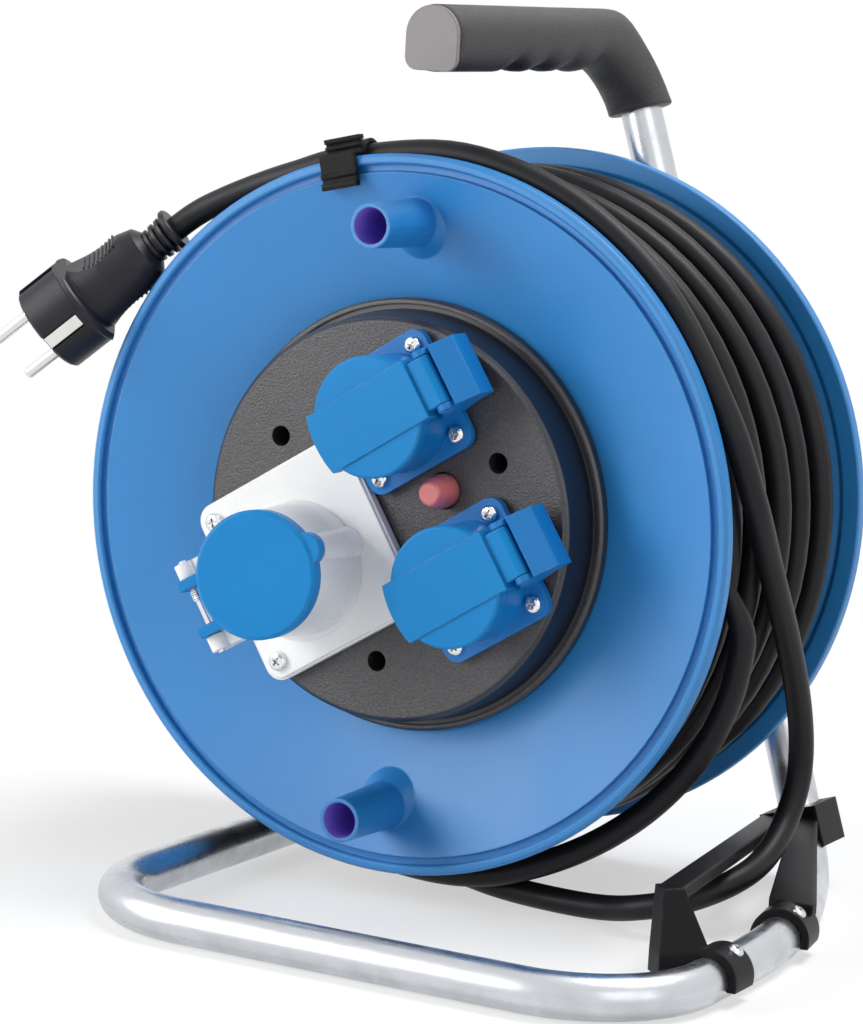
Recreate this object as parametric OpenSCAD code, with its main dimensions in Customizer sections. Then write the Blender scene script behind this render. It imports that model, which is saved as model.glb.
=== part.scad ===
// Extension cord reel on a bent tube stand, with two domestic sockets and one
// three-pin industrial socket in the hub, a resettable thermal cut-out and a
// moulded plug clipped to the rim.
//
// Every piece is first drawn in reel space: the drum turns about the Y axis, the
// front rim lies in the plane Y = 0, X is to the right and Z is up. place() then
// stands the reel on the plane Z = 0.

/* [Drum] */
// Outside diameter of both flanges
flange_d = 280; // [270:1:284]
// Width over both rims
drum_w = 135; // [128:1:142]
// Thickness of the flange plates
flange_t = 3; // [2:0.5:4]
// Depth of the rim bead along the axis
rim_depth = 6; // [5:0.5:8]
// Thickness of the rim bead across
rim_t = 4; // [3:0.5:5]
// How far the flange plates are sunk at the hub
dish_depth = 14.5; // [12:0.5:18]
// Outside diameter of the barrel
barrel_d = 164; // [158:1:166]
// Wall of the barrel
barrel_wall = 2.5; // [2:0.5:4]

/* [Crank posts] */
// Distance of the posts from the axis
post_circle_r = 114; // [108:1:118]
// Outside diameter at the mouth
post_d = 17; // [16:0.5:20]
// Outside diameter at the foot
post_foot_d = 19.5; // [18:0.5:22]
// Bore of the posts
post_bore_d = 14; // [10:0.5:14.5]
// How far the posts stand in front of the rim
post_reach = 31; // [24:1:36]

/* [Hub cover] */
// Diameter of the raised face
hub_d = 157; // [155:1:160]
// How far the face stands in front of the rim
hub_rise = 8.2; // [6:0.2:12]
// Diameter of the outer ring
hub_ring_d = 169; // [167:1:172]
// Wall of the cover
hub_wall = 3; // [2:0.5:4]
// Radius of the circle of cover screws
hub_screw_r = 55; // [54:1:57]

/* [Domestic sockets] */
// Side of the square flange
schuko_side = 50; // [49:0.5:50.5]
// Screw spacing in the flange
schuko_pitch = 38; // [37:0.5:39]
// Height of the closed lid above the hub face
schuko_h = 28.5; // [27:0.5:31]
// Diameter of the plug recess
schuko_recess_d = 39.5; // [38:0.5:40]
// Depth of the plug recess
schuko_recess_depth = 17.5; // [16:0.5:18]

/* [Three-pin socket] */
// Side of the square flange
cee_side = 75; // [73:0.5:75]
// Screw spacing in the flange
cee_pitch = 60; // [58:1:61]
// Height of the socket mouth above the hub face
cee_h = 45; // [43:1:48]
// Lean of the socket out of the square, in degrees
cee_lean = 8; // [5:1:10]
// Diameter of the bore that takes the plug
cee_bore_d = 44.5; // [43.5:0.5:45]

/* [Stand] */
// Outside diameter of the tube
tube_d = 17; // [15:0.5:18]
// Wall of the tube
tube_wall = 1.5; // [1:0.25:2]
// Gap between the drum and the floor
ground_gap = 12.5; // [11:0.5:15]
// Gap between the rear rim and the plane of the rear tubes
leg_gap = 15; // [14:0.5:18]
// How far the front tube lies in front of the rim
front_reach = 100.5; // [95:0.5:110]
// How far the right hand tube lies outside the drum
side_reach = 24; // [22:0.5:28]
// Diameter of the axle
axle_d = 10; // [9:0.5:11]

/* [Grip] */
// Height of the grip above the axle
grip_rise = 186; // [180:1:192]
// Width of the grip
grip_w = 23; // [21:0.5:25]
// Depth of the finger grooves
groove_depth = 3; // [1:0.5:3.5]

/* [Cable] */
// Outside diameter of the cable
cable_d = 10; // [9:0.5:10]
// Spacing of the turns
turn_pitch = 10.7; // [10.5:0.1:10.8]

/* [Plug] */
// Diameter of the plug face
plug_d = 38; // [36:0.5:39]
// Diameter of the pins
pin_d = 4.8; // [4.7:0.1:4.9]
// Length of the pins
pin_len = 19; // [18:0.5:19.5]
// Distance between the pins
pin_pitch = 19; // [18.5:0.5:19.5]

/* [Hidden] */
$fn = 48;
smooth = 96;
hair = 0.05;
seat = 0.3;
bend_lap = 0.3;
bend_step = 0.03;

// Drum
flange_r = flange_d / 2;
rim_inner_r = flange_r - rim_t;
rim_groove_r = rim_inner_r - 3;
rim_groove_depth = 3;
hub_ring_r = hub_ring_d / 2;
plate_rise = 1;
dish_slope = (dish_depth - plate_rise) / (rim_groove_r - hub_ring_r);
barrel_r = barrel_d / 2;
barrel_front = dish_depth + flange_t;
barrel_back = drum_w - barrel_front;
flange_screw_r = barrel_r - barrel_wall - 4.5;
flange_bore_r = flange_screw_r - 3.5;
flange_screws_n = 6;
flange_screws_first = 15;
boss_r = 12.5;
boss_front = drum_w - 35;
boss_back = drum_w + 3;
bush_r = 8;
bush_len = 10;
axle_r = axle_d / 2;
axle_end = 7.5;
nut_h = 7;
end_screw_r = 2.5;
end_screw_len = 12;

// Hub cover
hub_r = hub_d / 2;
hub_skirt_r = hub_ring_r - 4.3;
hub_groove_r = hub_ring_r - 2.3;
column_top = 42;
column_r = 6;
pocket_r = 4;
hub_screw_angles = [30, 150, 270];

// Domestic sockets
schuko_at = [[5.6, 42.7], [42.2, -17.5]];
schuko_turn = 33;
gasket_t = 1;
schuko_flange_t = 3.5;
schuko_collar_r = 22.3;
schuko_top = schuko_h - 6.5;
schuko_pin_u = 30;
schuko_pin_z = schuko_h - 4.5;
schuko_pin_r = 1;
schuko_back_r = 20.2;
schuko_back = 20;
lid_r = 23.2;
band_w = 24;
knuckle_w = 19.4;
knuckle_r = 3;

// Three-pin socket
cee_at = [-30.5, -18.4];
cee_turn = 32;
cee_offset = [-3.6, -2.5, 0];
cee_flange_t = 5;
cee_body_r = 25.5;
cee_mouth_r = 24;
cee_back_r = 23.5;
cee_lid_r = 24.6;
cee_lid_t = 7;
cee_pin_u = -29.2;
cee_pin_z = cee_h - 3;
cee_pin_r = 1.4;
cee_insert_r = 16.5;
cee_back_depth = 24;
cee_hole_r = cee_back_r + 1.5;

// Thermal cut-out
button_at = [25.2, 14.4];
button_r = 3.2;
boot_r = 6.6;
boot_h = 12.2;
button_travel = 2.5;
cutout_z = -12;
cutout_turn = 31;

// Stand
tube_r = tube_d / 2;
axle_h = flange_r + ground_gap;
run_z = -axle_h + tube_r;
leg_y = drum_w + leg_gap;
front_y = -front_reach;
run_x = flange_r + side_reach;
left_x = -75;
toe_x = 122.2;
grip_x = 13.6;
grip_front = -14;
bend_r = 48;
elbow_r = 30;
stand_path = [
    [left_x, leg_y, run_z], [left_x, front_y, run_z], [run_x, front_y, run_z],
    [run_x, 35, run_z], [toe_x, leg_y, run_z], [grip_x, leg_y, grip_rise],
    [grip_x, grip_front + 4, grip_rise]
];
leg_bend_r = 34;
stand_bends = [bend_r, bend_r, 300, 50, elbow_r];
leg_top = stand_meet();
leg_dir = unit(leg_top - stand_path[0]);
weld_depth = 3;
weld_step = 0.1;
upright = unit(stand_path[5] - stand_path[4]);
grip_path = [stand_path[5] - upright * 80, stand_path[5], stand_path[6] + [0, -10, 0]];

// Cable guide
guide_t = 3;
guide_r = tube_r + guide_t;
guide_fit = hair;
post_y = -47;
post_at = [run_x - 11, post_y - 1, run_z + tube_r - 3];
post_turn = 48;
post_head = [run_x - 17.5, post_y + 1, run_z + 31];
saddle_len = 16;
rear_saddle_len = 18;
rear_saddle_at = [run_x - 4.5, 34, run_z];
rear_saddle_turn = 10;
block_at = [toe_x - 2.1, leg_y - 8.8, run_z + 16];
block_w = tube_d + 8;
block_h = 17;

// Rim clip
clip_angle = 103.5;
clip_w = 15.5;
clip_t = 1.6;
clip_cord_r = 139.8;
clip_cord_y = 13.2;

// Plug
plug_tail = [-112.5, 12, 102.1];
plug_dir = unit([-0.7065, -0.2704, -0.6545]);
plug_roll = -19;
plug_len = 67;
sleeve_len = 12.5;
collar_at = 45;
collar_r = plug_d / 2 + 1.3;
thumb_r = 26;
thumb_at = 11;
pin_root = 12;
pin_root_r = pin_d / 2 - 0.4;

// Cable
cable_r = cable_d / 2;
cord_sides = 10;
wind_sides = 6;
wind_rings = 24;
tail_angle = -30;
terminal_r = 45;
terminal_pitch = 13;
wire_r = 1.4;
wind_r = flange_r - 11.8;
sway = 7;
wind_edge = plate_y(wind_r) + flange_t + cable_r + 0.6;
turn_count = floor((drum_w - 2 * wind_edge - 2 * sway) / turn_pitch);
core_r = wind_r * cos(180 / wind_rings) - cable_r - seat;
cord_route = [
    [-112.5, 12, 102.1], [-105.6, 14.3, 107.9], [-97, 15, 112.9], [-80, 14.2, 120.4], [-60, 13.4, 127.8],
    [-33, 13.2, 136], [14, 13.2, 140.4], [62, 13, 126.5], [102, 12.6, 96.5], [130, 13.2, 54],
    [139.8, 22, 22], [140.8, 40, -6], [140.2, 64, -38], [139.6, 82, -68], [139, 88, -92],
    [137.8, 82, -110], [137.4, 64, -123], [134, 44, -129.6], [122, 29, -136], [104, 25, -141.5],
    [84, 30, -146], [60, 32, -146.8], [34, 37, -146.6], [8, 43, -144], [-22, 48, -138.8],
    [-62, 54, -126], [-106, 57, -92.5], [-136, 56, -38], [-140.4, 55, 6], [-138.4, 54.4, 20]
];
turn_route = [
    [139.6, 18, -1], [139, 19.4, -14], [138.6, 24, -34], [131.5, 29, -60], [117, 32, -86],
    [96, 32, -109], [70, 29, -127], [40, 26, -139], [10, 26, -142.4], [-24, 29, -138.6],
    [-62, 34, -126], [-96, 38, -102.5], [-105.4, 39, -92.8]
];

// Room that the reel takes about its axis, without the cable and its plug
room_x = [-flange_r, run_x + guide_r];
room_y = [front_y - tube_r, leg_y + tube_r + axle_end];

// ---------------------------------------------------------------------------
// Helpers

function unit(v) = v / norm(v);

// Point where the left leg meets the upright, on a line through the axle.
function stand_meet() = let(
    foot = [left_x, run_z],
    low = [toe_x, run_z],
    high = [grip_x, grip_rise],
    d = high - low,
    k = (foot[0] * low[1] - foot[1] * low[0]) / (foot[1] * d[0] - foot[0] * d[1])
) [low[0] + k * d[0], leg_y, low[1] + k * d[1]];

module place() {
    translate([-(room_x[0] + room_x[1]) / 2, -(room_y[0] + room_y[1]) / 2, axle_h]) children();
}

// Local frame of the drum: X right, Y up, Z towards the user.
module drum_space() {
    place() rotate([90, 0, 0]) children();
}

// Frame of one socket on the hub face, U along its local X.
module hub_space(at, turn = 0) {
    drum_space() translate([at[0], at[1], hub_rise]) rotate([0, 0, turn]) children();
}

module cee_space() {
    hub_space(cee_at, cee_turn) translate(cee_offset) rotate([0, cee_lean, 0]) children();
}

module tail_space() {
    place() translate(plug_tail) rotate([0, acos(plug_dir[2]), atan2(plug_dir[1], plug_dir[0])])
        rotate([0, 0, plug_roll]) children();
}

// Straight round bar from one point to another.
module bar(a, b, r) {
    d = b - a;
    translate(a) rotate([0, acos(d[2] / norm(d)), atan2(d[1], d[0])]) cylinder(h = norm(d), r = r);
}

// Square beam from one point to another, w across and t deep.
module beam(a, b, w, t) {
    d = b - a;
    translate(a) rotate([0, acos(d[2] / norm(d)), atan2(d[1], d[0])])
        translate([-t / 2, -w / 2, 0]) cube([t, w, norm(d)]);
}

// One bend between the directions d1 and d2, from its first point.
module bend(start, d1, d2, bend_radius, r) {
    turn = acos(d1 * d2);
    inward = unit(d2 - d1 * (d1 * d2));
    w = cross(-inward, d1);
    u = -inward;
    tilt_y = asin(-u[2]);
    tilt_x = atan2(d1[2], w[2]);
    tilt_z = atan2(u[1], u[0]);
    translate(start + inward * bend_radius) rotate([tilt_x, tilt_y, tilt_z])
        rotate_extrude(angle = turn) translate([bend_radius, 0]) circle(r);
}

// Round bar along a path with filleted corners. The straights are a hair thinner than
// the bends and reach a little into them, so that the solids always join.
module bent_bar(path, bends, r) {
    last = len(path) - 1;
    dirs = [for (i = [0:last - 1]) unit(path[i + 1] - path[i])];
    cuts = [for (i = [0:last - 2]) bends[i] * tan(acos(dirs[i] * dirs[i + 1]) / 2)];
    for (i = [0:last - 1]) {
        a = path[i] + dirs[i] * (i == 0 ? 0 : cuts[i - 1] - bend_lap);
        b = path[i + 1] - dirs[i] * (i == last - 1 ? 0 : cuts[i] - bend_lap);
        bar(a, b, r - bend_step);
        if (i < last - 1) bend(b - dirs[i] * bend_lap, dirs[i], dirs[i + 1], bends[i], r);
    }
}

// Square plate with round corners.
module plate(side, t, corner) {
    inner = side / 2 - corner;
    linear_extrude(t) {
        square([side, side - 2 * corner], center = true);
        square([side - 2 * corner, side], center = true);
        for (x = [-inner, inner], y = [-inner, inner]) translate([x, y]) circle(corner);
    }
}

module at_corners(pitch) {
    for (x = [-1, 1], y = [-1, 1]) translate([x * pitch / 2, y * pitch / 2, 0]) children();
}

module around(n, r, first = 0) {
    for (i = [0:n - 1]) rotate([0, 0, first + i * 360 / n]) translate([r, 0, 0]) children();
}

module ring(outer, inner, h) {
    difference() {
        cylinder(h = h, r = outer);
        translate([0, 0, -1]) cylinder(h = h + 2, r = inner);
    }
}

// Pan head screw with a cross recess, its head on the plane Z = 0.
module screw(head_r, head_h, shank_r, length) {
    difference() {
        rotate_extrude() polygon([
            [0, -length], [shank_r, -length], [shank_r, 0], [head_r, 0], [head_r, head_h * 0.45],
            [head_r * 0.8, head_h * 0.85], [head_r * 0.5, head_h], [0, head_h]
        ]);
        for (a = [0, 90]) rotate([0, 0, a])
            translate([-head_r * 0.55, -head_r * 0.13, head_h * 0.35]) cube([head_r * 1.1, head_r * 0.26, head_h]);
    }
}

// Rings of points for a tube, from a centre, a normal and a binormal for each ring.
function tube_points(centres, normals, binormals, r, sides) = [
    for (i = [0:len(centres) - 1], k = [0:sides - 1])
        centres[i] + r * (cos(k * 360 / sides) * normals[i] + sin(k * 360 / sides) * binormals[i])
];

function tube_faces(rings, sides) = let(end = (rings - 1) * sides) concat(
    [for (k = [1:sides - 2]) [0, k + 1, k]],
    [for (i = [0:rings - 2], k = [0:sides - 1])
        [i * sides + k, i * sides + (k + 1) % sides, (i + 1) * sides + k]],
    [for (i = [0:rings - 2], k = [0:sides - 1])
        [(i + 1) * sides + k, i * sides + (k + 1) % sides, (i + 1) * sides + (k + 1) % sides]],
    [for (k = [1:sides - 2]) [end, end + k, end + k + 1]]
);

module tube_solid(centres, normals, binormals, r, sides) {
    polyhedron(
        points = tube_points(centres, normals, binormals, r, sides),
        faces = [for (f = tube_faces(len(centres), sides)) [f[0], f[2], f[1]]],
        convexity = 10
    );
}

// Smooth curve through the points of a route.
function curve_point(p, i, t) = let(
    a = p[max(i - 1, 0)],
    b = p[i],
    c = p[i + 1],
    d = p[min(i + 2, len(p) - 1)]
) 0.5 * (2 * b + (c - a) * t + (2 * a - 5 * b + 4 * c - d) * t * t + (3 * b - a - 3 * c + d) * t * t * t);

function directions(c) = [
    for (i = [0:len(c) - 1]) unit(c[min(i + 1, len(c) - 1)] - c[max(i - 1, 0)])
];

function carried(dirs, i, n) = let(m = unit(n - dirs[i] * (n * dirs[i])))
    i == len(dirs) - 1 ? [m] : concat([m], carried(dirs, i + 1, m));

// ---------------------------------------------------------------------------
// Stand

// The left leg rises from the floor through the axle and is welded to the upright.
module stand_solid(r, leg_short) {
    start = leg_bend_start();
    bent_bar(concat([start[1]], [for (i = [1:6]) stand_path[i]]), stand_bends, r);
    bend(start[0], -leg_dir, [0, -1, 0], leg_bend_r, r);
    bar(start[0] - leg_dir * bend_lap, leg_top - leg_dir * leg_short, r - weld_step);
}

// Ends of the bend at the foot of the left leg.
function leg_bend_start() = let(cut = leg_bend_r * tan(acos(leg_dir[1]) / 2))
    [stand_path[0] + leg_dir * cut, stand_path[0] + [0, bend_lap - cut, 0]];

module tube_frame() {
    place() color("silver") difference() {
        stand_solid(tube_r, weld_depth);
        stand_solid(tube_r - tube_wall, tube_d + 8);
        axle_hole();
    }
}

module axle_hole() {
    translate([0, leg_y, 0]) rotate([90, 0, 0]) cylinder(h = tube_d + 4, r = axle_r + hair, center = true);
}

// Section of the grip, X across and Y up, about the tube's axis.
module grip_section(shrink = 0) {
    r = grip_w / 2 - shrink;
    drop = grip_w / 2 + 2.5 - shrink;
    corner = 5;
    circle(r);
    translate([-r, -drop + corner]) square([2 * r, drop - corner]);
    translate([-r + corner, -drop]) square([2 * r - 2 * corner, corner]);
    for (x = [-r + corner, r - corner]) translate([x, -drop + corner]) circle(corner);
}

module along_grip(front) {
    translate([grip_x, front, grip_rise]) rotate([-90, 0, 0]) mirror([0, 1, 0]) children();
}

module grip() {
    back = leg_y - elbow_r;
    mouth = stand_path[5] - upright * (elbow_r + 1);
    place() color("#2b2b2e") difference() {
        union() {
            along_grip(grip_front) linear_extrude(back - grip_front) grip_section();
            hull() {
                along_grip(back - 1) linear_extrude(1) grip_section($fn = 32);
                translate([grip_x + 2, leg_y - 5, grip_rise - 5]) sphere(grip_w / 2 + 1.5, $fn = 32);
                bar(mouth, mouth + upright * 6, grip_w / 2 + 1.5, $fn = 32);
            }
        }
        bent_bar(grip_path, [elbow_r], tube_r + hair);
        for (i = [0:3]) translate([grip_x, 40 + i * 23.7, grip_rise - grip_w / 2 - 2.5 - 12 + groove_depth])
            rotate([0, 90, 0]) cylinder(h = grip_w + 8, r = 12, center = true);
    }
}

module grip_end_cap() {
    spigot = 8;
    place() color("#2b2b2e") {
        along_grip(grip_front - 2) linear_extrude(2) grip_section(0.5);
        along_grip(grip_front) linear_extrude(4) circle(tube_r);
        along_grip(grip_front + 4) linear_extrude(spigot) circle(tube_r - tube_wall - hair);
    }
}

module axle() {
    back = leg_y + tube_r + axle_end;
    front = boss_front - 1 - seat;
    drum_space() color("silver") difference() {
        translate([0, 0, -back]) cylinder(h = back - front, r = axle_r);
        translate([0, 0, -front - end_screw_len - 2]) cylinder(h = end_screw_len + 3, r = end_screw_r + hair);
    }
}

module axle_washers() {
    drum_space() color("silver") {
        translate([0, 0, -leg_y + tube_r]) ring(boss_r - 1, axle_r + hair, leg_gap - tube_r - 3 - seat);
        translate([0, 0, -boss_front + seat]) ring(boss_r - 1, axle_r + hair, 1);
    }
}

module axle_nut() {
    drum_space() color("silver") translate([0, 0, -leg_y - tube_r - nut_h]) difference() {
        cylinder(h = nut_h, r = axle_d * 0.98, $fn = 6);
        translate([0, 0, -1]) cylinder(h = nut_h + 2, r = axle_r + hair);
    }
}

module axle_end_screw() {
    drum_space() color("silver") translate([0, 0, -boss_front + 1 + seat]) screw(8, 3, end_screw_r, end_screw_len);
}

// ---------------------------------------------------------------------------
// Cable guide, moulded in one piece and pressed over the stand

module half_saddle(length) {
    rotate([-90, 0, 0]) difference() {
        cylinder(h = length, r = guide_r);
        translate([0, 0, -1]) cylinder(h = length + 2, r = tube_r + guide_fit);
        translate([-guide_r - 1, 3, -1]) cube([2 * guide_r + 2, guide_r, length + 2]);
    }
}

module cable_guide() {
    place() color("#1d1d1f") difference() {
        union() {
            translate([run_x, post_y, run_z]) half_saddle(saddle_len);
            hull() {
                translate(post_at) rotate([0, 0, post_turn]) translate([-10, -5, -4]) cube([20, 10, 8]);
                translate(post_head) rotate([0, 0, post_turn]) translate([-4, -4, -3]) cube([8, 8, 4]);
            }
            beam(post_head - [0, 0, 2], block_at + [-9, -8, 2], 9, 5);
            translate(rear_saddle_at) rotate([0, 0, rear_saddle_turn]) translate([0, -rear_saddle_len / 2, 0])
                half_saddle(rear_saddle_len);
            hull() {
                translate(rear_saddle_at + [-9, 4, tube_r - 1]) cube([18, 4, 4]);
                translate(block_at + [1, -13, -7]) cube([9, 4, 13]);
            }
            translate(block_at) rotate([0, -18.2, 0]) cube([block_w, block_w - 3, block_h], center = true);
        }
        bent_bar([for (i = [2:5]) stand_path[i]], [300, 50], tube_r + guide_fit);
        at_guide_screws() {
            cylinder(h = 4, r = 3 + hair);
            translate([0, 0, -guide_t - 2]) cylinder(h = guide_t + 3, r = 1.5 + hair);
        }
    }
}

// Both screws sit on flats sunk into the saddles.
module at_guide_screws() {
    translate([run_x, post_y + saddle_len - 5, run_z]) rotate([0, 30, 0])
        translate([0, 0, guide_r - 0.5]) children();
    translate(rear_saddle_at) rotate([0, 0, rear_saddle_turn]) translate([0, -rear_saddle_len / 2 + 5, 0])
        rotate([0, 30, 0]) translate([0, 0, guide_r - 0.5]) children();
}

module guide_screws() {
    place() color("silver") at_guide_screws() screw(3, 2, 1.5, guide_t - 0.8);
}

// ---------------------------------------------------------------------------
// Plug and its cord

// Section of the clip: X away from the axle, Y towards the rear.
module clip_section() {
    leg_low = flange_r - 10.1;
    back = clip_cord_y;
    translate([leg_low, -clip_t - seat]) square([flange_r + seat + clip_t - leg_low, clip_t]);
    translate([leg_low - 1.5, -clip_t - 1.5 - seat]) square([2.5, clip_t + 1.5]);
    translate([leg_low + 3, -clip_t - 1 - seat]) square([1.5, clip_t]);
    translate([flange_r + seat, -clip_t - seat]) square([clip_t, rim_depth + 2 + clip_t]);
    translate([flange_r + seat, rim_depth - 1]) square([7.7, clip_t]);
    translate([flange_r + seat + 6, rim_depth - 2.2]) square([1.8, clip_t + 2.4]);
    translate([flange_r + seat + 3.4, rim_depth - 2.2]) square([1.4, clip_t + 1.2]);
    difference() {
        translate([clip_cord_r, back]) circle(cable_r + 0.1 + clip_t);
        translate([clip_cord_r, back]) circle(cable_r + 0.1);
        translate([clip_cord_r - 20, back - 10]) square([18, 20]);
    }
}

module rim_clip() {
    drum_space() color("#1d1d1f") rotate([0, 0, clip_angle])
        rotate([-90, 0, 0]) translate([0, 0, -clip_w / 2]) linear_extrude(clip_w) clip_section();
}

module plug_body() {
    tail_space() color("#1d1d1f") difference() {
        rotate_extrude() polygon([
            [0, sleeve_len], [7.4, sleeve_len], [11, sleeve_len + 2.5], [12.6, sleeve_len + 8],
            [14.4, collar_at - 12], [15.2, collar_at - 0.5], [collar_r - 1, collar_at],
            [collar_r, collar_at + 0.8], [collar_r, collar_at + 2.4], [collar_r - 0.8, collar_at + 3],
            [plug_d / 2, collar_at + 3.2], [plug_d / 2, plug_len - 1], [plug_d / 2 - 1, plug_len],
            [0, plug_len]
        ]);
        for (s = [-1, 1]) {
            translate([s * pin_pitch / 2, 0, plug_len - pin_root]) cylinder(h = pin_root + 1, r = pin_root_r);
            translate([-3.3, s * plug_d / 2 - 2.5, plug_len - 17]) cube([6.6, 5, 18]);
            translate([s * plug_d / 2 - 2, -2.6, collar_at + 4]) cube([4, 5.2, plug_len]);
            translate([s * (thumb_r + thumb_at), -20, collar_at - 14.5]) rotate([-90, 0, 0]) cylinder(h = 40, r = thumb_r);
        }
    }
}

module plug_pins() {
    tail_space() color("silver") for (s = [-1, 1]) translate([s * pin_pitch / 2, 0, plug_len]) {
        translate([0, 0, -pin_root]) cylinder(h = pin_root, r = pin_root_r);
        cylinder(h = pin_len - 1, r = pin_d / 2);
        translate([0, 0, pin_len - 1]) cylinder(h = 1, r1 = pin_d / 2, r2 = pin_d / 2 - 0.8);
    }
}

module plug_earth_strips() {
    tail_space() color("silver") for (s = [-1, 1])
        translate([-2.5, s * (plug_d / 2 - 1.9) - 0.6, plug_len - 17]) cube([5, 1.2, 16.5]);
}

module plug_sleeve() {
    grooves = 3;
    step = (sleeve_len - 2.6) / grooves;
    tail_space() color("#1d1d1f") rotate_extrude() polygon(concat(
        [[0, 0], [8.8, 0], [9.4, 0.6], [9.4, 2], [8.8, 2.6]],
        [for (i = [0:grooves - 1], p = [[6, 0.2], [6, 1.2], [8.1 - 0.4 * i, 1.5], [7.9 - 0.4 * i, step - 0.3]])
            [p[0], 2.6 + p[1] + i * step]],
        [[6.9, sleeve_len], [0, sleeve_len]]
    ));
}

// Centres of the rings along a route, two for each stretch.
function cord_centres(p) = concat(
    [p[0]],
    [for (i = [1:len(p) - 3], k = [0, 0.5]) curve_point(p, i, k)],
    [p[len(p) - 2], p[len(p) - 1]]
);

module cord(route) {
    centres = cord_centres(route);
    dirs = directions(centres);
    normals = carried(dirs, 0, [0, 0, 1]);
    binormals = [for (i = [0:len(dirs) - 1]) cross(dirs[i], normals[i])];
    place() color("#222224") tube_solid(centres, normals, binormals, cable_r, cord_sides);
}

// From the plug through the clip and the guide to the left of the winding.
module free_cord() {
    cord(cord_route);
}

// A slack turn that hangs below the winding on the right.
module loose_turn() {
    cord(turn_route);
}

// ---------------------------------------------------------------------------
// Drum

// Outer face of a flange plate at a radius, measured in from its rim plane.
function plate_y(r) = dish_depth - (r - hub_ring_r) * dish_slope;

// Section of a flange from its rim plane inwards, X outwards and Y into the drum.
function flange_outline(bore) = [
    [bore, -dish_depth], [hub_ring_r, -dish_depth], [rim_groove_r, -plate_rise],
    [rim_groove_r + 0.4, -rim_groove_depth], [rim_inner_r, -rim_groove_depth],
    [rim_inner_r, -0.8], [rim_inner_r + 0.8, 0], [flange_r - 1.2, 0], [flange_r, -1.2],
    [flange_r, -rim_depth + 0.6], [flange_r - 0.6, -rim_depth], [rim_groove_r, -rim_depth],
    [rim_groove_r - 2, -plate_y(rim_groove_r - 2) - flange_t], [hub_ring_r, -dish_depth - flange_t],
    [bore, -dish_depth - flange_t]
];

module crank_post() {
    foot = -plate_y(post_circle_r - post_foot_d / 2) - 1.7;
    difference() {
        union() {
            translate([0, 0, foot]) cylinder(h = post_reach - foot, r1 = post_foot_d / 2, r2 = post_d / 2);
            translate([0, 0, foot]) cylinder(h = 7.4, r1 = post_foot_d / 2 + 4.8, r2 = post_foot_d / 2 - 0.2);
        }
        translate([0, 0, -2]) cylinder(h = post_reach + 3, r = post_bore_d / 2);
    }
}

// Both posts, cut off inside the flange plate.
module crank_posts() {
    depth = flange_t - 0.5;
    difference() {
        for (s = [-1, 1]) translate([0, s * post_circle_r, 0]) crank_post();
        rotate_extrude($fn = smooth) polygon([
            [hub_ring_r, -dish_depth - depth], [rim_groove_r, -plate_y(rim_groove_r) - depth],
            [rim_groove_r, -drum_w / 2], [hub_ring_r, -drum_w / 2]
        ]);
    }
}

module front_flange() {
    drum_space() color("royalblue") difference() {
        union() {
            rotate_extrude($fn = smooth) polygon(flange_outline(flange_bore_r));
            crank_posts();
        }
        around(flange_screws_n, flange_screw_r, flange_screws_first) translate([0, 0, -dish_depth - 5]) cylinder(h = 8, r = 1.9);
    }
}

module rear_flange() {
    drum_space() color("royalblue") difference() {
        union() {
            translate([0, 0, -drum_w]) mirror([0, 0, 1])
                rotate_extrude($fn = smooth) polygon(flange_outline(boss_r - 1));
            translate([0, 0, -boss_back]) cylinder(h = boss_back - boss_front, r = boss_r);
            for (a = hub_screw_angles) rotate([0, 0, a]) translate([hub_screw_r, 0, -barrel_back - 1])
                cylinder(h = barrel_back + 1 - column_top, r = column_r);
        }
        translate([0, 0, -boss_back - 1]) cylinder(h = boss_back - boss_front + 2, r = bush_r + hair);
        around(flange_screws_n, flange_screw_r, flange_screws_first) translate([0, 0, -drum_w + dish_depth - 5]) cylinder(h = 12, r = 1.9);
        for (a = hub_screw_angles) rotate([0, 0, a]) translate([hub_screw_r, 0, -column_top - 18])
            cylinder(h = 19, r = 1.9);
    }
}

module barrel() {
    length = barrel_back - barrel_front;
    drum_space() color("royalblue") translate([0, 0, -barrel_back]) difference() {
        union() {
            ring(barrel_r, barrel_r - barrel_wall, length, $fn = smooth);
            for (z = [seat, length - seat - 14]) translate([0, 0, z]) around(flange_screws_n, flange_screw_r, flange_screws_first)
                cylinder(h = 14, r = 5);
        }
        for (z = [-1, length - 13]) translate([0, 0, z]) around(flange_screws_n, flange_screw_r, flange_screws_first)
            cylinder(h = 14, r = 1.5 + hair);
        translate([0, 0, 14]) rotate([0, 90, tail_angle]) cylinder(h = barrel_r + 5, r = cable_r + 0.5);
    }
}

module flange_screws() {
    drum_space() color("silver") {
        around(flange_screws_n, flange_screw_r, flange_screws_first) translate([0, 0, -dish_depth]) screw(3.3, 2.4, 1.5, 14);
        around(flange_screws_n, flange_screw_r, flange_screws_first) translate([0, 0, -drum_w + dish_depth])
            mirror([0, 0, 1]) screw(3.3, 2.4, 1.5, 14);
    }
}

module bearing_bushes() {
    drum_space() color("ivory") for (z = [-boss_back, -boss_front - bush_len]) translate([0, 0, z])
        ring(bush_r, axle_r + hair, bush_len);
}

module winding_core() {
    low = barrel_front + seat;
    high = plate_y(core_r) + flange_t + seat;
    drum_space() color("#222224") rotate_extrude($fn = smooth) polygon([
        [barrel_r + seat, -low], [hub_ring_r, -low], [core_r, -high], [core_r, -drum_w + high],
        [hub_ring_r, -drum_w + low], [barrel_r + seat, -drum_w + low]
    ]);
}

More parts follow.
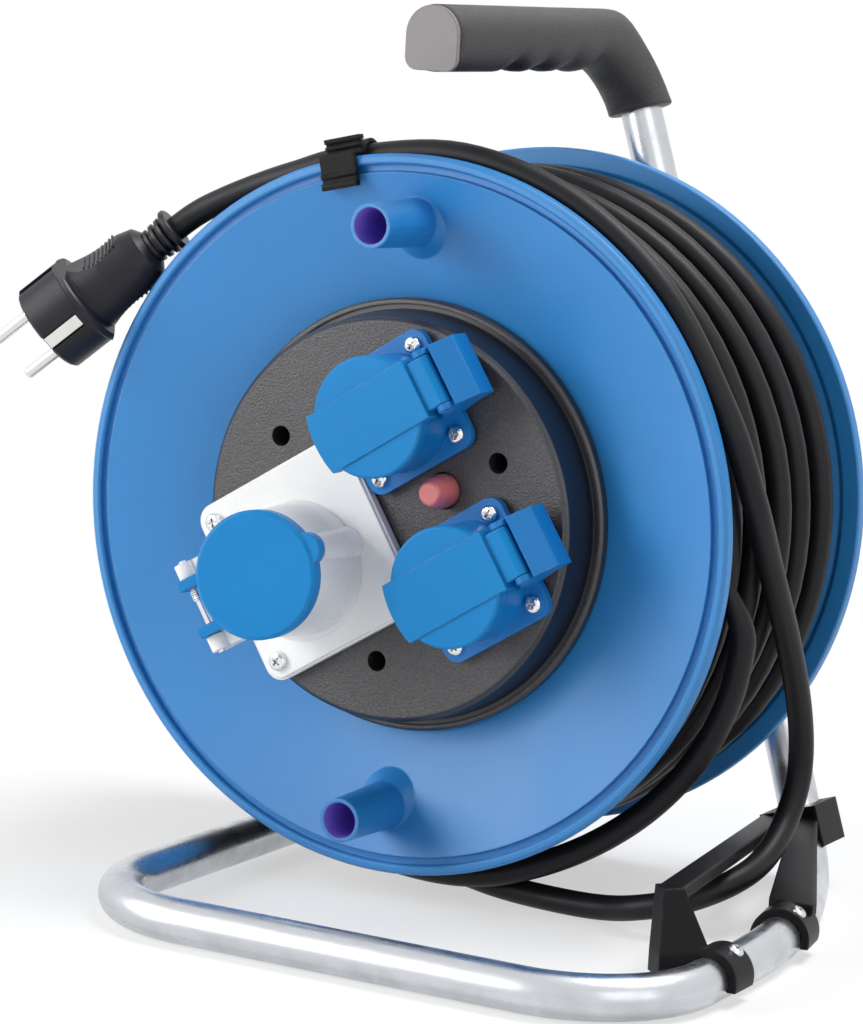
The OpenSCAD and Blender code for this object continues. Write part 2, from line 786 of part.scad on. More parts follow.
// Centre of the winding after t turns: it sways from flange to flange as it goes.
function wind_y(t) = drum_w / 2 + (t - turn_count / 2) * turn_pitch
    + sway * cos(360 * t - 50);
function wind_point(t) = [wind_r * cos(360 * t - 60), wind_r * sin(360 * t - 60), -wind_y(t)];
wind_path = [for (i = [0:turn_count * wind_rings]) wind_point(i / wind_rings)];

function wind_centres() = let(n = len(wind_path) - 1) concat(
    [wind_path[0] - unit(wind_path[1] - wind_path[0]) * cable_d],
    wind_path,
    [wind_path[n] + unit(wind_path[n] - wind_path[n - 1]) * cable_d]
);

module winding() {
    centres = wind_centres();
    dirs = directions(centres);
    outward = [for (c = centres) unit([c[0], c[1], 0])];
    normals = [for (i = [0:len(dirs) - 1]) unit(outward[i] - dirs[i] * (outward[i] * dirs[i]))];
    binormals = [for (i = [0:len(dirs) - 1]) cross(dirs[i], normals[i])];
    drum_space() color("#222224") tube_solid(centres, normals, binormals, cable_r, wind_sides);
}

// Least distance between turns, less one cable.
wind_gap = min([for (i = [0:len(wind_path) - 1 - wind_rings], k = [-2:2])
    norm(wind_path[i] - wind_path[min(i + wind_rings + k, len(wind_path) - 1)])]) - cable_d;
echo("least gap between the turns of the winding", wind_gap);

// ---------------------------------------------------------------------------
// Hub cover

module hub_cover() {
    floor_z = -column_top;
    drum_space() color("#333336") difference() {
        union() {
            rotate_extrude($fn = smooth) polygon([
                [0, hub_rise], [hub_r - 2, hub_rise], [hub_r, hub_rise - 2], [hub_skirt_r, -9],
                [hub_skirt_r, -10.7], [hub_groove_r, -10.7], [hub_groove_r, -9.6], [hub_ring_r - 1, -9.6],
                [hub_ring_r, -10.6], [hub_ring_r, -dish_depth], [flange_screw_r + 4, -dish_depth],
                [hub_r - hub_wall, hub_rise - hub_wall], [0, hub_rise - hub_wall]
            ]);
            for (a = hub_screw_angles) rotate([0, 0, a]) translate([hub_screw_r, 0, floor_z])
                cylinder(h = hub_rise - floor_z - 1, r = column_r + 0.5);
        }
        for (a = hub_screw_angles) rotate([0, 0, a]) translate([hub_screw_r, 0, floor_z]) {
            translate([0, 0, 6]) cylinder(h = hub_rise - floor_z, r = pocket_r);
            translate([0, 0, -1]) cylinder(h = 12, r = 2.1);
        }
        for (c = schuko_at) translate([c[0], c[1], 0]) {
            cylinder(h = hub_rise + 1, r = schuko_back_r + 0.4);
            rotate([0, 0, schuko_turn]) at_corners(schuko_pitch) cylinder(h = hub_rise + 1, r = 1.7);
        }
        translate([cee_at[0], cee_at[1], 0]) rotate([0, 0, cee_turn]) {
            translate(cee_offset) cylinder(h = hub_rise + 1, r = cee_hole_r);
            at_corners(cee_pitch) cylinder(h = hub_rise + 1, r = 1.7);
        }
        translate([button_at[0], button_at[1], 0]) cylinder(h = hub_rise + 1, r = boot_r + 0.5);
    }
}

module hub_cover_screws() {
    drum_space() color("silver") for (a = hub_screw_angles) rotate([0, 0, a])
        translate([hub_screw_r, 0, -column_top + 6]) screw(3.6, 2.6, 1.8, 20);
}

// ---------------------------------------------------------------------------
// Domestic sockets

module schuko_side_profile(points, y0, y1) {
    translate([0, y1, 0]) rotate([90, 0, 0]) linear_extrude(y1 - y0) polygon(points);
}

module schuko_body() {
    top = gasket_t + schuko_flange_t;
    recess_floor = schuko_top - schuko_recess_depth;
    ear_in = knuckle_w / 2 + 0.3;
    ear_out = band_w / 2 + 0.3;
    u = schuko_pin_u;
    z = schuko_pin_z;
    difference() {
        union() {
            translate([0, 0, gasket_t]) plate(schuko_side, schuko_flange_t, 6);
            translate([0, 0, -schuko_back]) cylinder(h = schuko_back + top, r = schuko_back_r);
            translate([0, 0, top - 1]) cylinder(h = schuko_top - top + 1, r1 = schuko_collar_r + 0.7,
                r2 = schuko_collar_r - 0.5);
            for (s = [-1, 1]) {
                y0 = s > 0 ? ear_in : -ear_out;
                schuko_side_profile([
                    [u - 10, gasket_t], [u - 5, gasket_t], [u + 3.5, z - 17.5], [u + 11.5, z - 16],
                    [u + 11.5, z - 11], [u + 3.3, z], [u - 3.3, z], [u - 5, z - 5], [u - 10, z - 12]
                ], y0, y0 + ear_out - ear_in);
                translate([u, y0, z]) rotate([-90, 0, 0]) cylinder(h = ear_out - ear_in, r = 3.3);
            }
            schuko_side_profile([
                [u + 4.2, z - 9], [u + 4.2, z + 0.6], [u + 4.9, z + 1.2], [u + 12, z - 5.5],
                [u + 12.5, z - 6.5], [u + 12.5, z - 16.5], [u + 6, z - 17]
            ], -ear_out, ear_out);
        }
        translate([0, 0, recess_floor]) cylinder(h = schuko_recess_depth + 1, r = schuko_recess_d / 2);
        for (s = [-1, 1]) {
            translate([0, s * pin_pitch / 2, recess_floor - 20]) cylinder(h = 21, r = 3);
            translate([s * (schuko_recess_d / 2 - 1) - 1.6, -3.2, recess_floor - 6]) cube([3.2, 6.4, 20]);
        }
        at_corners(schuko_pitch) cylinder(h = 12, r = 1.8);
        translate([u, -20, z]) rotate([-90, 0, 0]) cylinder(h = 40, r = schuko_pin_r + hair);
    }
}

module schuko_lid() {
    u = schuko_pin_u;
    z = schuko_pin_z;
    under = schuko_top + 0.5;
    difference() {
        union() {
            translate([0, 0, under]) cylinder(h = schuko_h - 1.5 - under, r = lid_r);
            translate([0, 0, schuko_h - 1.5]) cylinder(h = 0.8, r1 = lid_r, r2 = lid_r - 0.8);
            intersection() {
                translate([-lid_r - 2, -band_w / 2, under]) cube([lid_r + 2 + u - 6, band_w, schuko_h - under]);
                translate([14, 0, 0]) cylinder(h = 60, r = 39);
            }
            translate([u - 7, -knuckle_w / 2, z - 1.2]) cube([7, knuckle_w, knuckle_r + 1.2]);
            translate([u, -knuckle_w / 2, z]) rotate([-90, 0, 0]) cylinder(h = knuckle_w, r = knuckle_r);
        }
        translate([u, -20, z]) rotate([-90, 0, 0]) cylinder(h = 40, r = schuko_pin_r + hair);
        translate([u, -4.2, z]) rotate([-90, 0, 0]) cylinder(h = 8.4, r = 2.3);
        translate([0, 0, under - 1]) ring(lid_r - 1.5, lid_r - 4.5, 2);
    }
}

module schuko_seal() {
    color("#333333") translate([0, 0, schuko_top + hair]) ring(lid_r - 1.6, lid_r - 4.4, 1.4);
}

module schuko_contacts() {
    floor_z = schuko_top - schuko_recess_depth;
    for (c = schuko_at) hub_space(c, schuko_turn) color("gold") for (s = [-1, 1])
        translate([0, s * pin_pitch / 2, floor_z - 20]) ring(3, pin_d / 2 + 0.1, 18);
}

module schuko_earth_clips() {
    floor_z = schuko_top - schuko_recess_depth;
    for (c = schuko_at) hub_space(c, schuko_turn) color("silver") for (s = [-1, 1])
        translate([s * (schuko_recess_d / 2 + 0.25) - 0.2, -2.5, floor_z - 6]) cube([0.4, 5, 19]);
}

module schuko_gaskets() {
    for (c = schuko_at) hub_space(c, schuko_turn) color("#333333") difference() {
        plate(schuko_side - 1, gasket_t, 5.5);
        translate([0, 0, -1]) cylinder(h = 3, r = schuko_back_r + 0.2);
        at_corners(schuko_pitch) translate([0, 0, -1]) cylinder(h = 3, r = 1.9);
    }
}

module schuko_screws() {
    for (c = schuko_at) hub_space(c, schuko_turn) color("silver") at_corners(schuko_pitch)
        translate([0, 0, gasket_t + schuko_flange_t]) screw(3.4, 2.4, 1.7, 12);
}

module schuko_hinge_pins() {
    half = band_w / 2 + 0.3;
    for (c = schuko_at) hub_space(c, schuko_turn) color("silver")
        translate([schuko_pin_u, -half, schuko_pin_z]) rotate([-90, 0, 0]) cylinder(h = 2 * half, r = schuko_pin_r);
}

module schuko_springs() {
    for (c = schuko_at) hub_space(c, schuko_turn) color("silver")
        translate([schuko_pin_u, -4, schuko_pin_z]) rotate([-90, 0, 0]) ring(2.1, schuko_pin_r, 8);
}

// ---------------------------------------------------------------------------
// Three-pin socket

module cee_body() {
    ear_w = 6;
    ear_y = 12;
    base = gasket_t + cee_flange_t;
    color("whitesmoke") difference() {
        union() {
            hub_space(cee_at, cee_turn) translate([0, 0, gasket_t]) {
                plate(cee_side, cee_flange_t - 1.2, 7);
                plate(cee_side - 2, cee_flange_t, 6.2);
            }
            cee_space() {
                translate([0, 0, -cee_back_depth]) cylinder(h = cee_back_depth + 12, r = cee_back_r);
                for (s = [-1, 1]) translate([cee_pin_u, s * (ear_y + ear_w / 2) - ear_w / 2, cee_pin_z]) {
                    translate([-3.6, 0, -9]) cube([16.6, ear_w, 9]);
                    rotate([-90, 0, 0]) cylinder(h = ear_w, r = 3.6);
                }
            }
            intersection() {
                cee_space() {
                    cylinder(h = cee_h, r1 = cee_body_r + 1, r2 = cee_mouth_r);
                    cylinder(h = 10, r1 = cee_body_r + 5, r2 = cee_body_r);
                    translate([cee_mouth_r - 2, 0, 0]) cylinder(h = cee_h - 3.5, r1 = 7.5, r2 = 5.5);
                }
                hub_space(cee_at, cee_turn) translate([-cee_side, -cee_side, gasket_t])
                    cube([2 * cee_side, 2 * cee_side, 2 * cee_h]);
            }
        }
        cee_space() {
            translate([0, 0, cee_h - 38]) cylinder(h = 40, r = cee_bore_d / 2);
            translate([cee_bore_d / 2 - 3, -3, cee_h - 34]) cube([4.5, 6, 40]);
            translate([0, 0, -cee_back_depth - 1]) cylinder(h = 60, r = cee_insert_r + hair);
            translate([cee_pin_u, -30, cee_pin_z]) rotate([-90, 0, 0]) cylinder(h = 60, r = cee_pin_r + hair);
        }
        hub_space(cee_at, cee_turn) at_corners(cee_pitch) cylinder(h = 12, r = 1.8);
    }
}

module cee_holes(r) {
    for (a = [120, 0, 240]) rotate([0, 0, 180 + a]) translate([10.2, 0, 0]) circle(r);
}

module cee_insert() {
    cee_space() color("#4a4a4e") difference() {
        translate([0, 0, -cee_back_depth - 3]) union() {
            cylinder(h = cee_back_depth + 3 + cee_h - 6, r = cee_insert_r);
            cylinder(h = 3, r = cee_insert_r + 4);
        }
        translate([0, 0, -cee_back_depth - 4]) linear_extrude(cee_back_depth + cee_h + 6) cee_holes(3.6);
    }
}

module cee_contacts() {
    cee_space() color("gold") translate([0, 0, -cee_back_depth - 6]) linear_extrude(cee_back_depth + cee_h - 4)
        difference() {
            cee_holes(3.55);
            cee_holes(2.6);
        }
}

module cee_gasket() {
    hub_space(cee_at, cee_turn) color("#333333") difference() {
        plate(cee_side - 1, gasket_t, 6.5);
        translate(cee_offset + [0, 0, -1]) cylinder(h = 3, r = cee_hole_r);
        at_corners(cee_pitch) translate([0, 0, -1]) cylinder(h = 3, r = 1.9);
    }
}

module cee_screws() {
    hub_space(cee_at, cee_turn) color("silver") at_corners(cee_pitch)
        translate([0, 0, gasket_t + cee_flange_t]) screw(3.8, 2.6, 1.7, 12);
}

module cee_hinge_pin() {
    cee_space() color("silver") translate([cee_pin_u, -19, cee_pin_z]) rotate([-90, 0, 0])
        cylinder(h = 38, r = cee_pin_r);
}

module cee_spring() {
    cee_space() color("silver") translate([cee_pin_u, 2.4, cee_pin_z]) rotate([-90, 0, 0])
        ring(2.3, cee_pin_r, 5);
}

module cee_lid() {
    nose_r = 6.4;
    under = cee_h + 0.5;
    top = cee_h + cee_lid_t;
    cee_space() color("royalblue") difference() {
        union() {
            translate([0, 0, under]) cylinder(h = top - 1.2 - under, r = cee_lid_r);
            translate([0, 0, top - 1.2]) cylinder(h = 1.2, r1 = cee_lid_r, r2 = cee_lid_r - 1.2);
            translate([cee_lid_r - nose_r + 4, 0, under]) cylinder(h = top - 1 - under, r = nose_r);
            for (y = [-11.6, 7.6]) {
                translate([cee_pin_u, y, under]) cube([10, 4, 3]);
                translate([cee_pin_u - 3, y, cee_pin_z]) cube([6, 4, under + 3 - cee_pin_z]);
                translate([cee_pin_u, y, cee_pin_z]) rotate([-90, 0, 0]) cylinder(h = 4, r = 3);
            }
        }
        translate([0, 0, under - 1]) ring(cee_mouth_r, cee_mouth_r - 3.5, 2.4);
        translate([cee_pin_u, -30, cee_pin_z]) rotate([-90, 0, 0]) cylinder(h = 60, r = cee_pin_r + hair);
    }
}

module cee_seal() {
    cee_space() color("#333333") translate([0, 0, cee_h + hair]) ring(cee_mouth_r - 0.1, cee_mouth_r - 3.4, 1.8);
}

// ---------------------------------------------------------------------------
// Thermal cut-out and wiring behind the hub cover

module thermal_cutout() {
    hub_space(button_at, cutout_turn) color("#55555a") difference() {
        union() {
            translate([-17, -8, cutout_z - 28]) cube([34, 16, 28]);
            translate([0, 0, cutout_z - 1]) ring(boot_r + 2.5, boot_r + 0.8, 1 - cutout_z - hub_wall);
            translate([0, 0, cutout_z - 1]) cylinder(h = 4, r = button_r + 1.6);
        }
        translate([0, 0, cutout_z - 12]) cylinder(h = 20, r = button_r + hair);
    }
}

module reset_button() {
    hub_space(button_at) color("firebrick") translate([0, 0, cutout_z - 8])
        cylinder(h = 8 - cutout_z + boot_h - 1.2, r = button_r);
}

module reset_boot() {
    hub_space(button_at) color("#e06070") difference() {
        rotate_extrude() polygon([
            [0, -4], [boot_r, -4], [boot_r, 3], [boot_r - 0.8, boot_h - 4], [boot_r - 2, boot_h - 0.8],
            [boot_r - 2.8, boot_h], [0, boot_h]
        ]);
        translate([0, 0, -5]) cylinder(h = 5 + boot_h - 1.2, r = button_r);
        translate([0, 0, -5]) cylinder(h = 8, r = boot_r - 1.2);
    }
}

module tail_side() {
    drum_space() rotate([0, 0, tail_angle]) children();
}

module terminal_block() {
    tail_side() color("ivory") translate([terminal_r - 9, -20, -barrel_back]) difference() {
        cube([18, 40, 16]);
        for (slot = [-1:1]) translate([9, 20 + slot * terminal_pitch, 4]) {
            cylinder(h = 20, r = wire_r + hair);
            translate([-11, 0, 6]) rotate([0, 90, 0]) cylinder(h = 8, r = 1.6);
        }
    }
}

module strain_relief() {
    tail_side() color("#333336") translate([62, 0, -barrel_back]) difference() {
        translate([0, -12, 0]) cube([14, 24, 22]);
        translate([-1, 0, 14]) rotate([0, 90, 0]) cylinder(h = 16, r = cable_r);
    }
}

module cable_tail() {
    tail_side() color("#222224") translate([58, 0, -barrel_back + 14])
        rotate([0, 90, 0]) cylinder(h = barrel_r - 58 - 0.5, r = cable_r);
}

// One conductor from a slot of the terminal block to a point behind a socket.
module conductor(slot, to) {
    across = slot * terminal_pitch;
    x = terminal_r * cos(tail_angle) - across * sin(tail_angle);
    y = terminal_r * sin(tail_angle) + across * cos(tail_angle);
    level = -74 + slot * 6;
    drum_space() bent_bar([[x, y, -barrel_back + 6], [x, y, level - 8], [to[0], to[1], level], to], [6, 6], wire_r);
}

function behind_schuko(i) = [schuko_at[i][0], schuko_at[i][1], hub_rise - schuko_back];

module live_wire() {
    color("saddlebrown") conductor(-1, behind_schuko(0));
}

module neutral_wire() {
    color("steelblue") conductor(1, behind_schuko(1) + [0, 4, 0]);
}

module earth_wire() {
    color("yellowgreen") conductor(0, [cee_at[0] - 7, cee_at[1] - 7, hub_rise - cee_back_depth - 4.5]);
}

tube_frame();
grip();
grip_end_cap();
axle();
axle_washers();
axle_nut();
axle_end_screw();
cable_guide();
guide_screws();
rim_clip();
plug_body();
plug_pins();
plug_earth_strips();
plug_sleeve();
free_cord();
loose_turn();
front_flange();
rear_flange();
barrel();
flange_screws();
bearing_bushes();
winding_core();
winding();
hub_cover();
hub_cover_screws();
hub_space(schuko_at[0], schuko_turn) color("royalblue") schuko_body();  // schuko_a_body
hub_space(schuko_at[1], schuko_turn) color("royalblue") schuko_body();  // schuko_b_body
schuko_contacts();
schuko_earth_clips();
schuko_gaskets();
schuko_screws();
schuko_hinge_pins();
schuko_springs();
cee_body();
cee_insert();
cee_contacts();
cee_gasket();
cee_screws();
cee_hinge_pin();
cee_spring();
thermal_cutout();
terminal_block();
strain_relief();
cable_tail();
live_wire();
neutral_wire();
earth_wire();
hub_space(schuko_at[0], schuko_turn) color("royalblue") schuko_lid();  // schuko_a_lid
hub_space(schuko_at[1], schuko_turn) color("royalblue") schuko_lid();  // schuko_b_lid
hub_space(schuko_at[0], schuko_turn) schuko_seal();  // schuko_a_seal
hub_space(schuko_at[1], schuko_turn) schuko_seal();  // schuko_b_seal
cee_lid();
cee_seal();
reset_button();
reset_boot();
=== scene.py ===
import logging
import math
import random
from collections.abc import Iterable, Iterator
from contextlib import contextmanager
from dataclasses import dataclass, field
from enum import Enum
from typing import ClassVar

import bmesh
import bpy
from mathutils import Matrix, Vector


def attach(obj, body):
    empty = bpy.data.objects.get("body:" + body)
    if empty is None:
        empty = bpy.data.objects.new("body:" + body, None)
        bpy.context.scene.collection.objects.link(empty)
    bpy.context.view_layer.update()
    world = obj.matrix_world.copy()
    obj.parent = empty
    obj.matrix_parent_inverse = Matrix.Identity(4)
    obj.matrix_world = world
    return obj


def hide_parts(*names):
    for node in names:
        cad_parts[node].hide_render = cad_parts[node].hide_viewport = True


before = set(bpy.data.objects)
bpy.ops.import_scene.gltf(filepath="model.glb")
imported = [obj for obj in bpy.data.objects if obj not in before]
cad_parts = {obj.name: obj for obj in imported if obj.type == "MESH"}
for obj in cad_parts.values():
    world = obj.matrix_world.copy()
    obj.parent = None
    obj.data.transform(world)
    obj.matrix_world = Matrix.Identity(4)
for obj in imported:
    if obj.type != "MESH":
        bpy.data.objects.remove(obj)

log = logging.getLogger("cord_reel")

MM = 0.001
AXLE = Vector((-0.01775, -0.0285, 0.1525))  # centre of the front rim plane, on the axle
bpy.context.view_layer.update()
MERGE = 1e-7  # points nearer than this, in metres, are one

Colour = tuple[float, float, float]
Point = tuple[float, float, float]
Profile = list[tuple[float, float]]
Places = list[tuple[Matrix, Point]]  # frame of each copy, and its stretch along X, Y and Z

WHITE = (1.0, 1.0, 1.0)
UNCHANGED: Point = (1.0, 1.0, 1.0)  # stretch of a copy that keeps its shape
HUB_RISE = 8.2  # height of the hub face in front of the rim plane, in millimetres


class Grain(Enum):
    """Surface that the mould gives a plastic or rubber piece."""

    FINE = "fine"
    LEATHER = "leather"
    DRAWN = "drawn"


class Lay(Enum):
    """What a pattern follows: the object's own space, or the run of a tube or cable."""

    SPACE = "space"
    RUN = "run"


def linked(name: str, data: bpy.types.ID) -> bpy.types.Object:
    """Put data into the scene as an object.

    Args:
        name: The object's name.
        data: Its mesh, lamp or camera.

    Returns:
        The object.
    """
    made = bpy.data.objects.new(name, data)
    bpy.context.scene.collection.objects.link(made)
    return made


def plain_mesh(source: bpy.types.Object) -> bpy.types.Mesh:
    """The mesh that an object's modifiers give."""
    graph = bpy.context.evaluated_depsgraph_get()
    return bpy.data.meshes.new_from_object(source.evaluated_get(graph), depsgraph=graph)


@contextmanager
def reshaping(mesh: bpy.types.Mesh) -> Iterator[bmesh.types.BMesh]:
    """Open a mesh for changes, and write it back after them."""
    form = bmesh.new()
    form.from_mesh(mesh)
    yield form
    form.to_mesh(mesh)
    form.free()


def store(mesh: bpy.types.Mesh, name: str, rows: Iterable[Iterable[float]]) -> None:
    """Store three numbers for each point of a mesh.

    Args:
        mesh: The mesh.
        name: Name of the attribute.
        rows: The three numbers of each point.
    """
    kept = mesh.attributes.new(name, "FLOAT_VECTOR", "POINT")
    kept.data.foreach_set("vector", [number for row in rows for number in row])


# ---------------------------------------------------------------------------
# Shader trees


class Wire:
    """A socket of a shader tree that can stand in a sum."""

    def __init__(self, tree: "ShaderTree", socket: bpy.types.NodeSocket) -> None:
        """Keep the socket and the tree it belongs to."""
        self.tree = tree
        self.socket = socket

    def _sum(self, operation: str, first: "Wire | float", second: "Wire | float") -> "Wire":
        """Add one Math node.

        Args:
            operation: The node's operation.
            first: First operand.
            second: Second operand.

        Returns:
            The node's result.
        """
        return self.tree.node("ShaderNodeMath", {"operation": operation}, {0: first, 1: second})

    def __add__(self, other: "Wire | float") -> "Wire":
        """Sum."""
        return self._sum("ADD", self, other)

    __radd__ = __add__

    def __sub__(self, other: "Wire | float") -> "Wire":
        """Difference."""
        return self._sum("SUBTRACT", self, other)

    def __rsub__(self, other: float) -> "Wire":
        """Difference from a number."""
        return self._sum("SUBTRACT", other, self)

    def __mul__(self, other: "Wire | float") -> "Wire":
        """Product."""
        return self._sum("MULTIPLY", self, other)

    __rmul__ = __mul__

    def __pow__(self, other: float) -> "Wire":
        """Power."""
        return self._sum("POWER", self, other)

    def size(self) -> "Wire":
        """Absolute value."""
        return self._sum("ABSOLUTE", self, 0.0)

    def step(self, low: float, high: float) -> "Wire":
        """Smooth step from 0 at low to 1 at high.

        Args:
            low: Value at which the step starts.
            high: Value at which it ends.

        Returns:
            The step.
        """
        return self.tree.node(
            "ShaderNodeMapRange", {"interpolation_type": "SMOOTHSTEP"},
            {"Value": self, "From Min": low, "From Max": high, "To Min": 0.0, "To Max": 1.0},
        )


class ShaderTree:
    """The node tree of a material or a world, made from Python expressions."""

    # How far the rounded normal leans where an edge starts, and where it is full.
    EDGE_STEP: tuple[float, float] = (0.01, 0.25)
    EDGE_SAMPLES: int = 4
    VIEWPORT_GREY: tuple[float, ...] = (0.5, 0.5, 0.5, 1.0)

    def __init__(self, owner: "bpy.types.Material | bpy.types.World") -> None:
        """Start with an empty tree in a new material or world."""
        self.owner = owner
        self.owner.use_nodes = True
        self.tree = self.owner.node_tree
        self.tree.nodes.clear()

    def node(
        self, kind: str, settings: dict[str, object] | None = None,
        values: dict[object, object] | None = None, out: int | str = 0,
    ) -> Wire:
        """Add one node.

        Args:
            kind: The node's type.
            settings: Properties that are set before its sockets.
            values: Numbers, colours or wires for its sockets, by name or index.
            out: The output that is returned.

        Returns:
            That output.
        """
        made = self.tree.nodes.new(kind)
        for key, value in (settings or {}).items():
            setattr(made, key, value)
        for key, value in (values or {}).items():
            if isinstance(value, Wire):
                self.tree.links.new(value.socket, made.inputs[key])
            else:
                made.inputs[key].default_value = value
        return Wire(self, made.outputs[out] if made.outputs else None)

    def spot(self, lay: Lay) -> Wire:
        """Place that patterns read: the object's space, or the run along a tube."""
        if lay is Lay.RUN:
            return self.node("ShaderNodeAttribute", {"attribute_name": "run"}, out="Vector")
        return self.node("ShaderNodeTexCoord", out="Object")

    def drawn_out(self, spot: Wire, share: float) -> Wire:
        """Stretch a pattern along its run, by reading it at a share of the place."""
        return self.node(
            "ShaderNodeVectorMath", {"operation": "MULTIPLY"}, {0: spot, 1: (1.0, 1.0, share)}
        )

    def rays(self, *kinds: str) -> Wire:
        """1 for a ray of any of these kinds, and 0 for the others."""
        first, *others = (self.node("ShaderNodeLightPath", out=kind) for kind in kinds)
        return sum(others, first)

    def noise(self, spot: Wire, per_metre: float, detail: float, rough: float = 0.5) -> Wire:
        """Cloudy noise from 0 to 1.

        Args:
            spot: The place it reads.
            per_metre: How many clouds there are in a metre.
            detail: Octaves.
            rough: Share of the finer octaves.

        Returns:
            The noise.
        """
        return self.node(
            "ShaderNodeTexNoise", None,
            {"Vector": spot, "Scale": per_metre, "Detail": detail, "Roughness": rough},
        )

    def cells(self, spot: Wire, per_metre: float, feature: str) -> Wire:
        """Distance in a pattern of cells: to their points with F1, or to their edges."""
        return self.node(
            "ShaderNodeTexVoronoi", {"feature": feature}, {"Vector": spot, "Scale": per_metre}
        )

    def axes(self, spot: Wire) -> tuple[Wire, Wire, Wire]:
        """The three numbers of a place."""
        split = self.node("ShaderNodeSeparateXYZ", None, {0: spot}).socket.node
        return tuple(Wire(self, output) for output in split.outputs)

    def from_axle(self, spot: Wire) -> tuple[Wire, Wire, Wire]:
        """The three numbers of a place, counted from the axle."""
        return self.axes(self.node(
            "ShaderNodeVectorMath", {"operation": "SUBTRACT"}, {0: spot, 1: tuple(AXLE)}
        ))

    def mix(self, share: Wire | float, first: Wire | Colour, second: Wire | Colour) -> Wire:
        """Blend two colours.

        Args:
            share: Share of the second colour.
            first: Colour where the share is 0.
            second: Colour where it is 1.

        Returns:
            The blend.
        """
        values = {0: share, 6: _rgba(first), 7: _rgba(second)}
        return self.node("ShaderNodeMix", {"data_type": "RGBA"}, values, out=2)

    def rounded(self, radius_mm: float) -> Wire:
        """Normal of the surface with its edges rounded off."""
        return self.node(
            "ShaderNodeBevel", {"samples": self.EDGE_SAMPLES}, {"Radius": radius_mm * MM},
            out="Normal",
        )

    def edges(self, rounded: Wire) -> Wire:
        """Share from 0 to 1 that is high along sharp edges."""
        flat = self.node("ShaderNodeNewGeometry", out="Normal")
        same = self.node("ShaderNodeVectorMath", {"operation": "DOT_PRODUCT"},
                         {0: rounded, 1: flat}, out="Value")
        return (1.0 - same).step(*self.EDGE_STEP)

    def bump(self, height: Wire, depth_mm: float, under: Wire) -> Wire:
        """Relief of a given depth over a normal."""
        return self.node(
            "ShaderNodeBump", None,
            {"Height": height, "Distance": depth_mm * MM, "Strength": 1.0, "Normal": under},
            out="Normal",
        )

    def close(self, values: dict[str, object]) -> bpy.types.Material:
        """Add the surface shader and the output.

        Args:
            values: The surface shader's sockets.

        Returns:
            The finished material.
        """
        values = {k: _rgba(v) if isinstance(v, tuple) and len(v) == 3 and "Color" in k else v
                  for k, v in values.items()}
        shader = self.node("ShaderNodeBsdfPrincipled", None, values)
        self.node("ShaderNodeOutputMaterial", None, {"Surface": shader})
        self.owner.diffuse_color = self.VIEWPORT_GREY
        return self.owner


def _reach(across: Wire, up: Wire) -> Wire:
    """Distance from a centre, from the two numbers that lead to it."""
    return (across * across + up * up) ** 0.5


def _rgba(value: object) -> object:
    """A colour with its fourth number, or a wire as it is."""
    return value if isinstance(value, Wire) else (*value, 1.0)


def _scaled(colour: Colour, factor: float) -> Colour:
    """A lighter or darker colour."""
    return tuple(min(1.0, c * factor) for c in colour)


# ---------------------------------------------------------------------------
# Finishes


